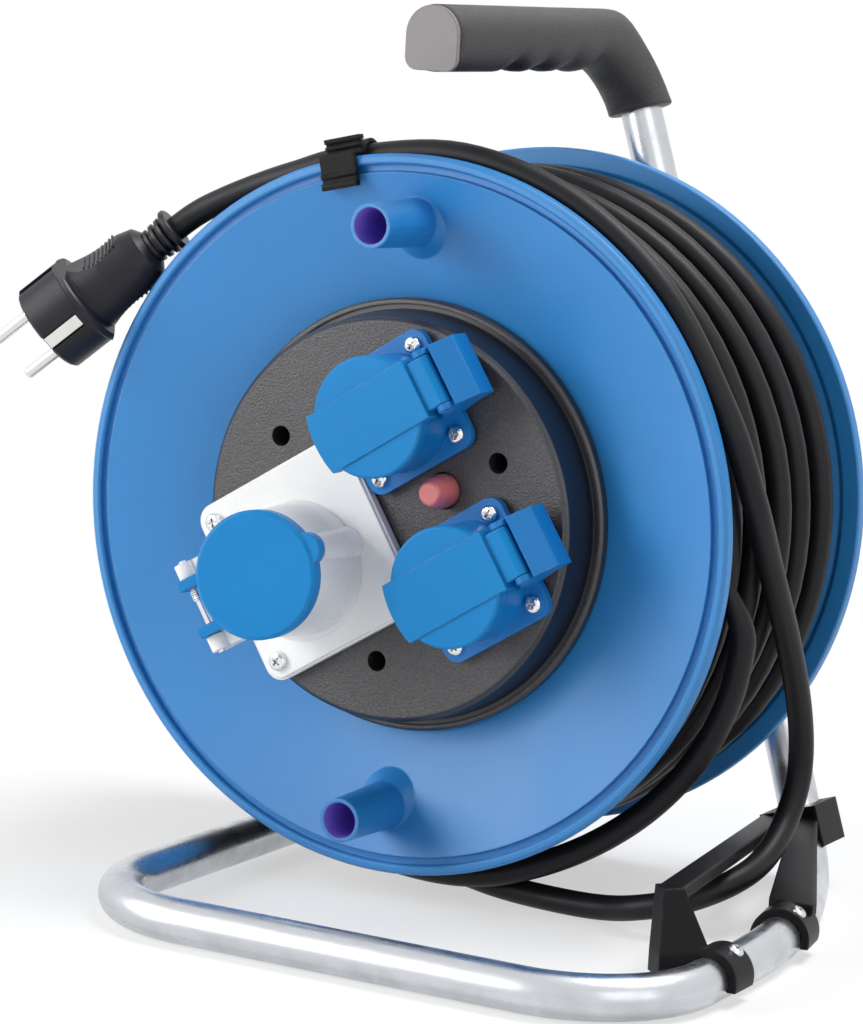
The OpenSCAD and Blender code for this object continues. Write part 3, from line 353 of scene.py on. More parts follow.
@dataclass(frozen=True)
class Moulding:
    """A moulded plastic or rubber, with its grain, painted highlights on the grain's crests, its
    slight unevenness and its worn edges.
    """

    name: str
    colour: Colour
    roughness: float = 0.42
    grain: Grain = Grain.FINE
    grain_mm: float = 0.7
    depth_mm: float = 0.025
    edge_mm: float = 0.5
    worn: float = 0.3
    uneven: float = 0.12
    glow: float = 0.0
    coat: float = 0.0
    gloss: float = 0.5
    lay: Lay = Lay.SPACE

    CLOUDS: ClassVar[float] = 14.0  # slow changes of colour in a metre
    CLOUD_STEP: ClassVar[tuple[float, float]] = (0.3, 0.7)
    CREST_HIGHLIGHT: ClassVar[tuple[float, float]] = (0.25, 1.5)  # share and lightness of the painted highlight on the grain's crests
    SCUFFS: ClassVar[float] = 320.0  # breaks in a metre of worn edge
    SCUFF_STEP: ClassVar[tuple[float, float]] = (0.42, 0.62)
    PALE: ClassVar[tuple[float, float]] = (0.6, 0.28)  # what a scuff keeps of a colour, and adds
    SHEEN: ClassVar[float] = 30.0  # slow changes of roughness in a metre
    SHEEN_SHARE: ClassVar[float] = 0.14
    RELIEF_SHEEN: ClassVar[float] = 0.1
    SHEEN_MIDDLE: ClassVar[float] = 0.12  # what both add on average
    COAT_ROUGHNESS: ClassVar[float] = 0.2
    GLOW_DEPTH: ClassVar[Point] = (0.004, 0.0012, 0.001)  # of red, green and blue, in metres
    FOLD_STEP: ClassVar[tuple[float, float]] = (0.0, 0.3)
    WRINKLES: ClassVar[float] = 2.3  # finer wrinkles in the width of a fold
    DRAWN_OUT: ClassVar[float] = 0.05
    ROUGH: ClassVar[float] = 0.6  # share of the finer octaves

    def relief(self, tree: ShaderTree, spot: Wire) -> Wire:
        """Height of the grain, from 0 to 1."""
        per_metre = 1.0 / (self.grain_mm * MM)
        if self.grain is Grain.LEATHER:
            folds = tree.cells(spot, per_metre, "DISTANCE_TO_EDGE").step(*self.FOLD_STEP)
            return folds * 0.7 + tree.noise(spot, per_metre * self.WRINKLES, 2) * 0.5
        if self.grain is Grain.DRAWN:
            lines = tree.noise(tree.drawn_out(spot, self.DRAWN_OUT), per_metre, 3, self.ROUGH)
            return lines * 0.6 + tree.noise(spot, per_metre, 2) * 0.4
        return tree.noise(spot, per_metre, 3, self.ROUGH)

    def colouring(self, tree: ShaderTree, spot: Wire, relief: Wire, edges: Wire) -> Wire:
        """Colour over the piece.

        Args:
            tree: The material's tree.
            spot: The place that patterns read.
            relief: Height of the grain.
            edges: Share that is high along edges.

        Returns:
            The colour.
        """
        cloud = tree.noise(spot, self.CLOUDS, 4, self.ROUGH).step(*self.CLOUD_STEP)
        base = tree.mix(cloud, _scaled(self.colour, 1 - self.uneven),
                        _scaled(self.colour, 1 + self.uneven))
        # painted highlight: the grain's crests are lightened as if they caught the light
        share, light = self.CREST_HIGHLIGHT
        base = tree.mix(relief * share, base, _scaled(self.colour, light))
        kept, added = self.PALE
        scuffs = edges * tree.noise(spot, self.SCUFFS, 3).step(*self.SCUFF_STEP) * self.worn
        return tree.mix(scuffs, base, tuple(c * kept + added for c in self.colour))

    def shine(self, tree: ShaderTree, spot: Wire, relief: Wire) -> Wire:
        """Roughness over the piece."""
        return (tree.noise(spot, self.SHEEN, 3) * self.SHEEN_SHARE + relief * self.RELIEF_SHEEN
                + (self.roughness - self.SHEEN_MIDDLE))

    def material(self) -> bpy.types.Material:
        """Build the material."""
        tree = ShaderTree(bpy.data.materials.new(self.name))
        spot = tree.spot(self.lay)
        rounded = tree.rounded(self.edge_mm)
        relief = self.relief(tree, spot)
        values = {
            "Base Color": self.colouring(tree, spot, relief, tree.edges(rounded)),
            "Roughness": self.shine(tree, spot, relief),
            "Normal": tree.bump(relief, self.depth_mm, rounded),
            "Coat Weight": self.coat,
            "Coat Roughness": self.COAT_ROUGHNESS,
            "Specular IOR Level": self.gloss,
        }
        if self.glow:
            values |= {"Subsurface Weight": self.glow, "Subsurface Radius": self.GLOW_DEPTH,
                       "Subsurface Scale": 1.0}
        return tree.close(values)


@dataclass(frozen=True)
class FlangePlastic(Moulding):
    """The blue of the drum, with painted shade inside the crank posts' bores: a violet tint for
    their shadow.
    """

    post_circle_mm: float = 114.0
    bore_mm: float = 7.15
    bore_soft_mm: float = 0.3
    bore_floor_mm: tuple[float, float] = (4.0, 12.0)
    # painted shade: a violet tint for the shadow inside the post bores
    bore_shade_colour: Colour = (0.42, 0.14, 0.80)

    def colouring(self, tree: ShaderTree, spot: Wire, relief: Wire, edges: Wire) -> Wire:
        """Colour over the flange, with a violet painted shade inside the posts."""
        x, y, z = tree.from_axle(spot)
        reach = _reach(x, z.size() - self.post_circle_mm * MM)
        beside = reach.step((self.bore_mm - self.bore_soft_mm) * MM, self.bore_mm * MM)
        behind = y.step(*(depth * MM for depth in self.bore_floor_mm))
        base = super().colouring(tree, spot, relief, edges)
        # painted shade inside the bores, beyond their floor depth
        return tree.mix((1.0 - beside) * (1.0 - behind), base, self.bore_shade_colour)


@dataclass(frozen=True)
class HubPlastic(Moulding):
    """The hub cover: fine grain on its face, and a smooth dark wall and ring round it."""

    wall_in_mm: float = 77.0
    wall_out_mm: float = 82.6
    wall_soft_mm: float = 0.6
    # the wall's own dark colour, with a navy tint that is a painted reflection of the blue flange
    wall_colour_and_reflection: Colour = (0.004, 0.005, 0.014)
    wall_smooth: float = 0.93
    grains: float = 1300.0
    grain_step: tuple[float, float] = (0.36, 0.64)
    # pale and dark speckles: painted glints and painted shade for the sparkle of the grain
    speckle_shade: float = 0.45
    glint_pale: float = 2.1
    # painted highlight along the face's edges
    painted_edge_share: float = 0.6
    painted_edge_highlight: float = 3.0

    def beyond(self, tree: ShaderTree, spot: Wire, radius_mm: float) -> Wire:
        """Share that goes from 0 to 1 just outside a radius from the axle."""
        x, _, z = tree.from_axle(spot)
        return _reach(x, z).step(radius_mm * MM, (radius_mm + self.wall_soft_mm) * MM)

    def relief(self, tree: ShaderTree, spot: Wire) -> Wire:
        """Fine grain on the face, and next to none on the wall and the ring."""
        smooth = self.beyond(tree, spot, self.wall_in_mm) * self.wall_smooth
        return super().relief(tree, spot) * (1.0 - smooth)

    def colouring(self, tree: ShaderTree, spot: Wire, relief: Wire, edges: Wire) -> Wire:
        """Black-grey face with painted glints and shade in its grain and painted edge highlights,
        and a darker wall with a painted reflection of the flange.
        """
        # painted glints and shade: speckles that stand for light sparkling on the grain
        grains = tree.noise(spot, self.grains, 2, 0.7).step(*self.grain_step)
        face = tree.mix(grains, _scaled(self.colour, self.speckle_shade),
                        _scaled(self.colour, self.glint_pale))
        # painted highlight: every edge of the face is lightened as if it caught the light
        face = tree.mix(edges * self.painted_edge_share, face, _scaled(self.colour, self.painted_edge_highlight))
        # darker wall, with a painted reflection of the blue flange in its navy tint
        wall = self.beyond(tree, spot, self.wall_in_mm) * (
            1.0 - self.beyond(tree, spot, self.wall_out_mm - self.wall_soft_mm))
        return tree.mix(wall, face, self.wall_colour_and_reflection)


@dataclass(frozen=True)
class Metal:
    """A bare or plated metal, with streaks from drawing and flowers in the zinc."""

    name: str
    colour: Colour
    roughness: float = 0.25
    streaks: float = 0.3
    spangle: float = 0.0
    edge_mm: float = 0.25
    lay: Lay = Lay.SPACE

    DRAWN: ClassVar[float] = 900.0  # drawing lines in a metre across the run
    DRAWN_OUT: ClassVar[float] = 0.02
    CLOUDS: ClassVar[float] = 60.0  # dull clouds in a metre
    CLOUD_STEP: ClassVar[tuple[float, float]] = (0.35, 0.75)
    FLOWERS: ClassVar[float] = 160.0  # zinc flowers in a metre
    DULL: ClassVar[float] = 0.55  # lightness of a dull place
    PITS: ClassVar[float] = 1400.0  # pits in a metre
    DEPTH_MM: ClassVar[float] = 0.012
    ROUGHENED: ClassVar[float] = 0.45  # roughness that dullness adds
    ROUGHNESS_MIDDLE: ClassVar[float] = 0.04  # what it adds on average

    def material(self) -> bpy.types.Material:
        """Build the material."""
        tree = ShaderTree(bpy.data.materials.new(self.name))
        spot = tree.spot(self.lay)
        rounded = tree.rounded(self.edge_mm)
        drawn = tree.noise(tree.drawn_out(spot, self.DRAWN_OUT), self.DRAWN, 4, 0.65)
        cloud = tree.noise(spot, self.CLOUDS, 4, 0.6).step(*self.CLOUD_STEP)
        dull = (cloud * 0.6 + drawn * 0.4) * self.streaks
        dull = dull + tree.cells(spot, self.FLOWERS, "F1") * self.spangle
        height = drawn * 0.7 + tree.noise(spot, self.PITS, 2) * 0.3
        return tree.close({
            "Base Color": tree.mix(dull, self.colour, _scaled(self.colour, self.DULL)),
            "Metallic": 1.0,
            "Roughness": dull * self.ROUGHENED + (self.roughness - self.ROUGHNESS_MIDDLE),
            "Normal": tree.bump(height, self.DEPTH_MM, rounded),
        })


@dataclass(frozen=True)
class Softbox:
    """One square lamp that faces the object: its place from the object's centre, side and power."""

    name: str
    offset: Point
    side: float
    watts: float

    def hang(self, centre: Point) -> None:
        """Hang it round a centre."""
        data = bpy.data.lights.new(self.name, "AREA")
        data.shape, data.size, data.energy = "SQUARE", self.side, self.watts
        lamp = linked(self.name, data)
        lamp.location = Vector(centre) + Vector(self.offset)
        lamp.rotation_euler = Vector(self.offset).to_track_quat("Z", "Y").to_euler()


@dataclass(frozen=True)
class Studio:
    """Camera, lamps, floor and surroundings."""

    centre: Point = (0.0, 0.03, 0.17)
    camera_at: Point = (0.66795, -1.2816, 0.3687)
    right: Point = (0.8768, 0.4778, 0.0546)
    up: Point = (-0.1181, 0.1039, 0.9876)
    back: Point = (0.4662, -0.8723, 0.1475)
    lens_mm: float = 156.27
    sensor_mm: float = 36.0
    clip: tuple[float, float] = (0.05, 50.0)
    lamps: tuple[Softbox, ...] = (
        Softbox("key", (-1.45, -1.05, 0.75), 1.0, 13.5),
        Softbox("front", (-1.0, -1.3, 0.35), 0.8, 10.0),
        Softbox("fill", (1.5, -0.8, 0.5), 1.1, 3.5),
        Softbox("top", (0.5, 0.35, 1.5), 0.8, 23.0),
    )
    ambient: float = 0.32
    floor_colour: Colour = (0.93, 0.93, 0.93)
    floor_glow: float = 0.55
    floor_half: float = 6.0
    floor_fade: tuple[float, float] = (0.16, 0.5)

    def camera(self) -> None:
        """Set up the camera."""
        data = bpy.data.cameras.new("camera")
        data.lens, data.sensor_width, data.sensor_fit = self.lens_mm, self.sensor_mm, "HORIZONTAL"
        data.clip_start, data.clip_end = self.clip
        camera = linked("camera", data)
        turn = Matrix((self.right, self.up, self.back)).transposed().to_4x4()
        camera.matrix_world = Matrix.Translation(self.camera_at) @ turn
        bpy.context.scene.camera = camera

    def surroundings(self) -> None:
        """White behind everything, and a plain ambient light."""
        world = bpy.data.worlds.new("surroundings")
        bpy.context.scene.world = world
        tree = ShaderTree(world)
        seen = tree.rays("Is Camera Ray", "Is Glossy Ray", "Is Transmission Ray")
        level = tree.node("ShaderNodeMix", None, {0: seen, 2: self.ambient, 3: 1.0})
        shade = tree.node("ShaderNodeBackground", None, {"Color": _rgba(WHITE), "Strength": level})
        tree.node("ShaderNodeOutputWorld", None, {"Surface": shade})

    def floor(self) -> None:
        """Lay the pale floor, which fades into the white behind it."""
        mesh, half = bpy.data.meshes.new("floor"), self.floor_half
        corners = [(x * half, y * half, 0) for x, y in ((-1, -1), (1, -1), (1, 1), (-1, 1))]
        mesh.from_pydata(corners, [], [(0, 1, 2, 3)])
        tree = ShaderTree(bpy.data.materials.new("floor_paper"))
        x, y, _ = tree.axes(tree.spot(Lay.SPACE))
        paper = tree.node("ShaderNodeBsdfDiffuse", None, {"Color": _rgba(self.floor_colour)})
        white = tree.node("ShaderNodeEmission", None, {"Color": _rgba(WHITE), "Strength": 1.0})
        faded = _reach(x, y).step(*self.floor_fade) * (1.0 - self.floor_glow) + self.floor_glow
        share = tree.rays("Is Camera Ray", "Is Glossy Ray") * faded
        far = tree.node("ShaderNodeMixShader", None, {0: share, 1: paper, 2: white})
        tree.node("ShaderNodeOutputMaterial", None, {"Surface": far})
        mesh.materials.append(tree.owner)
        linked("floor", mesh)

    def build(self) -> None:
        """Set up everything round the object."""
        self.camera()
        for lamp in self.lamps:
            lamp.hang(self.centre)
        self.surroundings()
        self.floor()
        bpy.context.scene.view_settings.view_transform = "Standard"
        log.info("studio: camera, %d lamps, floor and surroundings", len(self.lamps))


class Finishes:
    """Every finish of the reel, built once each when a piece first asks for it."""

    RECIPES: "dict[str, Moulding | Metal]" = {recipe.name: recipe for recipe in (
        Metal("galvanised_steel", (0.64, 0.66, 0.69), 0.22, 0.5, 0.12, lay=Lay.RUN),
        Metal("weld_steel", (0.62, 0.63, 0.65), 0.34, 0.5, 0.0),
        Metal("zinc_steel", (0.72, 0.73, 0.76), 0.28, 0.3, 0.1),
        Metal("chromed_steel", (0.82, 0.82, 0.83), 0.14, 0.15),
        Metal("pin_steel", (0.80, 0.79, 0.76), 0.2, 0.25),
        Metal("contact_brass", (0.75, 0.55, 0.25), 0.3, 0.3),
        Moulding("black_grip", (0.020, 0.019, 0.022), 0.46, Grain.LEATHER, 0.8, 0.16, edge_mm=1.2,
                 worn=0.1),
        Moulding("grip_cap_grey", (0.20, 0.185, 0.19), 0.5, Grain.FINE, 0.6, 0.06, edge_mm=0.8,
                 worn=0.1, uneven=0.2),
        Moulding("black_moulding", (0.007, 0.006, 0.007), 0.40, Grain.FINE, 0.5, 0.05,
                 edge_mm=1.6, worn=0.10, gloss=0.12),
        Moulding("black_rubber", (0.012, 0.011, 0.016), 0.36, Grain.FINE, 0.6, 0.04, edge_mm=0.6,
                 worn=0.1, gloss=0.3),
        Moulding("cable_rubber", (0.009, 0.009, 0.011), 0.44, Grain.DRAWN, 0.8, 0.10, edge_mm=0.1,
                 worn=0.0, uneven=0.3, gloss=0.22, lay=Lay.RUN),
        # the flange's own blue, with its red raised a little as a painted reflection of the glossy
        # veil
        FlangePlastic("flange_blue", (0.012, 0.190, 0.50), 0.46, Grain.FINE, 0.55, 0.05,
                      edge_mm=0.9, worn=0.3, uneven=0.05, gloss=0.7),
        Moulding("socket_blue", (0.002, 0.160, 0.46), 0.36, Grain.FINE, 0.4, 0.014, edge_mm=0.7,
                 worn=0.25, uneven=0.05, gloss=0.4),
        Moulding("lid_blue", (0.002, 0.190, 0.48), 0.38, Grain.FINE, 0.4, 0.014, edge_mm=0.9,
                 worn=0.3, uneven=0.05, gloss=0.22),
        HubPlastic("hub_black", (0.019, 0.017, 0.020), 0.44, Grain.FINE, 0.85, 0.30, edge_mm=0.7,
                   worn=0.12, uneven=0.15, gloss=0.8),
        Moulding("white_plastic", (0.80, 0.805, 0.80), 0.30, Grain.FINE, 0.5, 0.012, edge_mm=1.0,
                 worn=0.0, uneven=0.02),
        Moulding("bearing_plastic", (0.75, 0.72, 0.62), 0.4),
        Moulding("ivory_plastic", (0.72, 0.68, 0.55), 0.4),
        Moulding("dark_plastic", (0.05, 0.05, 0.055), 0.45),
        Moulding("seal_rubber", (0.02, 0.02, 0.02), 0.6),
        Moulding("red_rubber", (0.95, 0.22, 0.22), 0.22, Grain.FINE, 0.6, 0.015, edge_mm=0.8,
                 worn=0.0, uneven=0.08, glow=0.6, coat=0.5),
        Moulding("red_plastic", (0.45, 0.02, 0.02), 0.35),
        Moulding("brown_wire", (0.12, 0.04, 0.015), 0.4),
        Moulding("blue_wire", (0.02, 0.10, 0.45), 0.4),
        Moulding("earth_wire", (0.25, 0.45, 0.04), 0.4),
    )}

    def __init__(self) -> None:
        """Start with no finish built."""
        self.built: dict[str, bpy.types.Material] = {}

    def get(self, name: str) -> bpy.types.Material:
        """The material of a finish."""
        if name not in self.built:
            self.built[name] = self.RECIPES[name].material()
        return self.built[name]

    def dress(self, finish: str, *nodes: str) -> None:
        """Give CAD nodes a finish.

        Args:
            finish: Name of the finish.
            nodes: Names of the nodes.
        """
        for name in nodes:
            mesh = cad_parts[name].data
            mesh.materials.clear()
            mesh.materials.append(self.get(finish))
            log.info("%s: %s", name, finish)


# ---------------------------------------------------------------------------
# Forms


def reel(point: Point) -> Vector:
    """A point given from the axle in millimetres, in the frame's metres."""
    return AXLE + Vector(point) * MM


def shift(x: float, y: float, z: float) -> Matrix:
    """A move given in millimetres."""
    return Matrix.Translation(Vector((x, y, z)) * MM)


def spin(angle: float, axis: str = "Z") -> Matrix:
    """A turn about an axis, in radians."""
    return Matrix.Rotation(angle, 4, axis)


def on_circle(radius: float, angle: float) -> tuple[float, float]:
    """A point on a circle, from its angle in radians."""
    return radius * math.cos(angle), radius * math.sin(angle)


def drum_frame() -> Matrix:
    """Frame of the drum's face: X right, Y up, Z towards the user."""
    return Matrix.Translation(AXLE) @ spin(math.radians(90), "X")


def hub_frame(at: tuple[float, float], turn: float) -> Matrix:
    """Frame of a piece on the hub face.

    Args:
        at: Its place on the face, in millimetres.
        turn: Its turn in degrees.

    Returns:
        The frame.
    """
    return drum_frame() @ shift(*at, HUB_RISE) @ spin(math.radians(turn))


def piece(
    name: str, points: list[Vector], faces: list[tuple[int, ...]], sharp: float = 40.0
) -> bpy.types.Object:
    """Make a mesh piece that is shaded smooth, with its sharp edges kept.

    Args:
        name: The piece's name.
        points: Its points in the frame, in metres.
        faces: Its faces.
        sharp: Angle in degrees from which an edge stays sharp.

    Returns:
        The piece.
    """
    mesh = bpy.data.meshes.new(name)
    mesh.from_pydata([tuple(p) for p in points], [], faces)
    with reshaping(mesh) as form:
        bmesh.ops.remove_doubles(form, verts=form.verts, dist=MERGE)
        bmesh.ops.recalc_face_normals(form, faces=form.faces)
    mesh.shade_smooth()
    mesh.set_sharp_from_angle(angle=math.radians(sharp))
    return linked(name, mesh)


def grid_faces(rings: int, sides: int) -> list[tuple[int, ...]]:
    """Faces between rings of points, with both ends closed."""
    faces = [tuple(range(sides))]
    for i in range(rings - 1):
        for k in range(sides):
            a, b = i * sides + k, i * sides + (k + 1) % sides
            faces.append((a, b, b + sides, a + sides))
    return faces + [tuple(range((rings - 1) * sides, rings * sides))]


def sweep(
    name: str, centres: list[Vector], radius: float | list[float], sides: int
) -> bpy.types.Object:
    """Make a round bar along a line, with its run stored for patterns that follow it.

    Args:
        name: The piece's name.
        centres: The line, in metres.
        radius: Radius in metres, one for all or one for each point.
        sides: Faces round the bar.

    Returns:
        The piece.
    """
    points, runs, run = [], [], 0.0
    normal = None
    radii = radius if isinstance(radius, list) else [radius] * len(centres)
    for i, (centre, reach) in enumerate(zip(centres, radii)):
        way = (centres[min(i + 1, len(centres) - 1)] - centres[max(i - 1, 0)]).normalized()
        if normal is None:
            normal = way.orthogonal().normalized()
        normal = (normal - way * normal.dot(way)).normalized()
        side = way.cross(normal)
        run += (centre - centres[i - 1]).length if i else 0.0
        for k in range(sides):
            u, v = on_circle(reach, 2 * math.pi * k / sides)
            points.append(centre + normal * u + side * v)
            runs.append((u, v, run))
    made = piece(name, points, grid_faces(len(centres), sides))
    store(made.data, "run", runs)
    return made


def lathe(name: str, profile: Profile, place: Matrix, sides: int) -> bpy.types.Object:
    """Turn a closed profile about its frame's Z axis.

    Args:
        name: The piece's name.
        profile: Radius and height of each point in millimetres, round the section.
        place: The piece's frame.
        sides: Faces round the piece.

    Returns:
        The piece.
    """
    points, faces, count = [], [], len(profile)
    for k in range(sides):
        a = 2 * math.pi * k / sides
        points += [place @ (Vector((*on_circle(r, a), z)) * MM) for r, z in profile]
        for i in range(count):
            j, n = (i + 1) % count, (k + 1) % sides
            faces.append((k * count + i, k * count + j, n * count + j, n * count + i))
    made = piece(name, points, faces)
    with reshaping(made.data) as form:
        bmesh.ops.dissolve_degenerate(form, dist=MERGE, edges=form.edges)
        bmesh.ops.recalc_face_normals(form, faces=form.faces)
    return made


def joined(name: str, parts: list[bpy.types.Object]) -> bpy.types.Object:
    """Join pieces into one mesh.

    Args:
        name: Name of the joined piece.
        parts: The pieces, which are used up.

    Returns:
        The joined piece.
    """
    form = bmesh.new()
    for part in parts:
        form.from_mesh(part.data)
    mesh = bpy.data.meshes.new(name)
    form.to_mesh(mesh)
    form.free()
    for part in parts:
        bpy.data.objects.remove(part)
    return linked(name, mesh)


def smooth_line(route: list[Point], steps: int) -> list[Vector]:
    """A smooth curve through the points of a route.

    Args:
        route: Points from the axle in millimetres.
        steps: Points for each stretch.

    Returns:
        Points in metres.
    """
    p = [reel(q) for q in route]
    line = []
    for i in range(len(p) - 1):
        a, b, c, d = p[max(i - 1, 0)], p[i], p[i + 1], p[min(i + 2, len(p) - 1)]
        for k in range(steps):
            t = k / steps
            line.append(0.5 * (2 * b + (c - a) * t + (2 * a - 5 * b + 4 * c - d) * t * t
                               + (3 * b - a - 3 * c + d) * t * t * t))
    return line + [p[-1]]


def length_of(line: list[Vector]) -> float:
    """Length of a line of points."""
    return sum((b - a).length for a, b in zip(line, line[1:]))


def bent_line(route: list[Point], bends: list[float], turn: float) -> list[Vector]:
    """A line with rounded corners, as a tube bender makes it.

    Args:
        route: Corners from the axle in millimetres.
        bends: Bend radius in millimetres at each inner corner.
        turn: Degrees between the points of a bend.

    Returns:
        Points in metres.
    """
    p = [Vector(q) for q in route]
    line = [p[0]]
    for i, radius in enumerate(bends, start=1):
        d1, d2 = (p[i] - p[i - 1]).normalized(), (p[i + 1] - p[i]).normalized()
        angle = d1.angle(d2)
        inward = (d2 - d1 * d1.dot(d2)).normalized()
        start = p[i] - d1 * radius * math.tan(angle / 2)
        steps = max(2, math.ceil(math.degrees(angle) / turn))
        for k in range(steps + 1):
            a = angle * k / steps
            line.append(start + inward * radius * (1 - math.cos(a)) + d1 * radius * math.sin(a))
    return [reel(q) for q in line + [p[-1]]]


def dressed(
    made: bpy.types.Object, material: bpy.types.Material, body: str, slot: str, *nodes: str
) -> bpy.types.Object:
    """Give a piece its material, body and slot.

    Args:
        made: The piece.
        material: Its material.
        body: The body it moves with.
        slot: Not used.
        nodes: CAD nodes that it stands for.

    Returns:
        The piece.
    """
    made.data.materials.clear()
    made.data.materials.append(material)
    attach(made, body)
    if nodes:
        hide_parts(*nodes)
    log.info("%s: %d faces on %s", made.name, len(made.data.polygons), body)
    return made


# ---------------------------------------------------------------------------
# Repeated pieces


class Repeat:
    """Sets one small part at many places with a Geometry Nodes tree."""

    def __init__(self, name: str, part: bpy.types.Object, material: bpy.types.Material) -> None:
        """Keep the part that is repeated, and its material.

        Args:
            name: Name of the piece.
            part: The part, which is used up.
            material: Material of all copies.
        """
        self.name = name
        self.part = part
        self.material = material
        self.tree = bpy.data.node_groups.new(f"repeat_{name}", "GeometryNodeTree")

    def _wire(self) -> dict[str, str]:
        """Build the tree.

        Returns:
            Identifiers of its inputs by name.
        """
        keys = {name: self.tree.interface.new_socket(
            name, in_out="INPUT", socket_type=f"NodeSocket{kind}").identifier
            for name, kind in (("Places", "Geometry"), ("Part", "Object"), ("Finish", "Material"),
                               ("Size", "Float"))}
        self.tree.interface.new_socket("Pieces", in_out="OUTPUT", socket_type="NodeSocketGeometry")
        start, end, part, turn, stretch, scale, copies, real, paint = (
            self.tree.nodes.new(kind) for kind in (
                "NodeGroupInput", "NodeGroupOutput", "GeometryNodeObjectInfo",
                "GeometryNodeInputNamedAttribute", "GeometryNodeInputNamedAttribute",
                "ShaderNodeVectorMath", "GeometryNodeInstanceOnPoints",
                "GeometryNodeRealizeInstances", "GeometryNodeSetMaterial"))
        scale.operation = "SCALE"
        for node, name in ((turn, "turn"), (stretch, "stretch")):
            node.data_type = "FLOAT_VECTOR"
            node.inputs["Name"].default_value = name
        for giver, given, taker, taken in (
            (start, "Part", part, "Object"),
            (start, "Places", copies, "Points"),
            (part, "Geometry", copies, "Instance"),
            (turn, "Attribute", copies, "Rotation"),
            (stretch, "Attribute", scale, 0),
            (start, "Size", scale, "Scale"),
            (scale, 0, copies, "Scale"),
            (copies, 0, real, 0),
            (real, 0, paint, "Geometry"),
            (start, "Finish", paint, "Material"),
            (paint, 0, end, 0),
        ):
            self.tree.links.new(giver.outputs[given], taker.inputs[taken])
        return keys

    def at(self, places: Places, size: float = 1.0) -> bpy.types.Object:
        """Set the part at the places.

        Args:
            places: Frame and stretch of each copy.
            size: Size of all copies.

        Returns:
            One plain mesh with every copy.
        """
        mesh = bpy.data.meshes.new(self.name)
        mesh.from_pydata([tuple(place.translation) for place, _ in places], [], [])
        store(mesh, "turn", [place.to_euler() for place, _ in places])
        store(mesh, "stretch", [stretch for _, stretch in places])
        seeds = linked(f"{self.name}_places", mesh)
        modifier = seeds.modifiers.new("repeat", "NODES")
        modifier.node_group = self.tree
        keys = self._wire()
        for name, value in (("Part", self.part), ("Finish", self.material), ("Size", size)):
            modifier[keys[name]] = value
        plain = plain_mesh(seeds)
        plain.name = self.name
        for used in (seeds, self.part):
            bpy.data.objects.remove(used)
        return linked(self.name, plain)


@dataclass(frozen=True)
class PanHeadScrew:
    """A pan head screw with a tapered cross recess.

    The pairs are shares: of the head's radius and height for its edges, and of the cross and the
    head's height for the recess.
    """

    head_r: float
    head_h: float
    shank_r: float
    length: float
    tip: float = 1.0
    tip_share: float = 0.6
    lower_edge: tuple[float, float] = (0.97, 0.12)
    upper_edge: tuple[float, float] = (0.52, 0.36)
    crown: float = 1.02
    dome_steps: int = 5
    recess: float = 0.55
    arm: float = 0.12
    recess_floor: tuple[float, float] = (0.5, 0.25)
    recess_mouth: tuple[float, float] = (1.25, 1.4)
    sides: int = 40
    sharp: float = 28.0

    def head(self) -> bpy.types.Object:
        """Turn the head and shank."""
        r, h, shank, end = self.head_r, self.head_h, self.shank_r, -self.length
        (narrow, bevel), (flat, rim) = self.lower_edge, self.upper_edge
        profile = [(0, end), (shank * self.tip_share, end), (shank, end + self.tip), (shank, 0),
                   (r * narrow, 0), (r, h * bevel), (r, h * rim)]
        profile += [(r * (flat + (1 - flat) * math.cos(a)), h * (rim + (1 - rim) * math.sin(a)))
                    for a in (math.radians(90 / self.dome_steps * (k + 1))
                              for k in range(self.dome_steps))]
        return lathe("screw", profile + [(0, h * self.crown)], Matrix(), self.sides)

    def cutter(self) -> bpy.types.Object:
        """The cross that is pressed into the head."""
        arm, half = self.head_r * self.recess, self.head_r * self.arm
        quarter = [(arm, -half), (arm, half), (half, half)]
        outline = []
        for _ in range(4):
            outline += quarter
            quarter = [(-y, x) for x, y in quarter]
        points = [Vector((x * share, y * share, self.head_h * height)) * MM
                  for share, height in (self.recess_floor, self.recess_mouth) for x, y in outline]
        return piece("cross", points, grid_faces(2, len(outline)))

    def build(self) -> bpy.types.Object:
        """Cut the recess into the head.

        Returns:
            The screw in its own frame.
        """
        head, cross = self.head(), self.cutter()
        cut = head.modifiers.new("recess", "BOOLEAN")
        cut.operation, cut.object, cut.solver = "DIFFERENCE", cross, "EXACT"
        mesh = plain_mesh(head)
        for used in (head, cross):
            bpy.data.objects.remove(used)
        mesh.shade_smooth()
        mesh.set_sharp_from_angle(angle=math.radians(self.sharp))
        return linked("screw", mesh)

    def drive(
        self, name: str, places: Places, steel: bpy.types.Material, slot: str, node: str
    ) -> None:
        """Set one such screw at each place on the drum.

        Args:
            name: Name of the piece that holds all of them.
            places: Frame and stretch of each screw.
            steel: Their finish.
            slot: The record's material slot.
            node: The CAD node they stand for.
        """
        made = Repeat(name, self.build(), steel).at(places)
        dressed(made, steel, "drum", slot, node)


# ---------------------------------------------------------------------------
# Cable


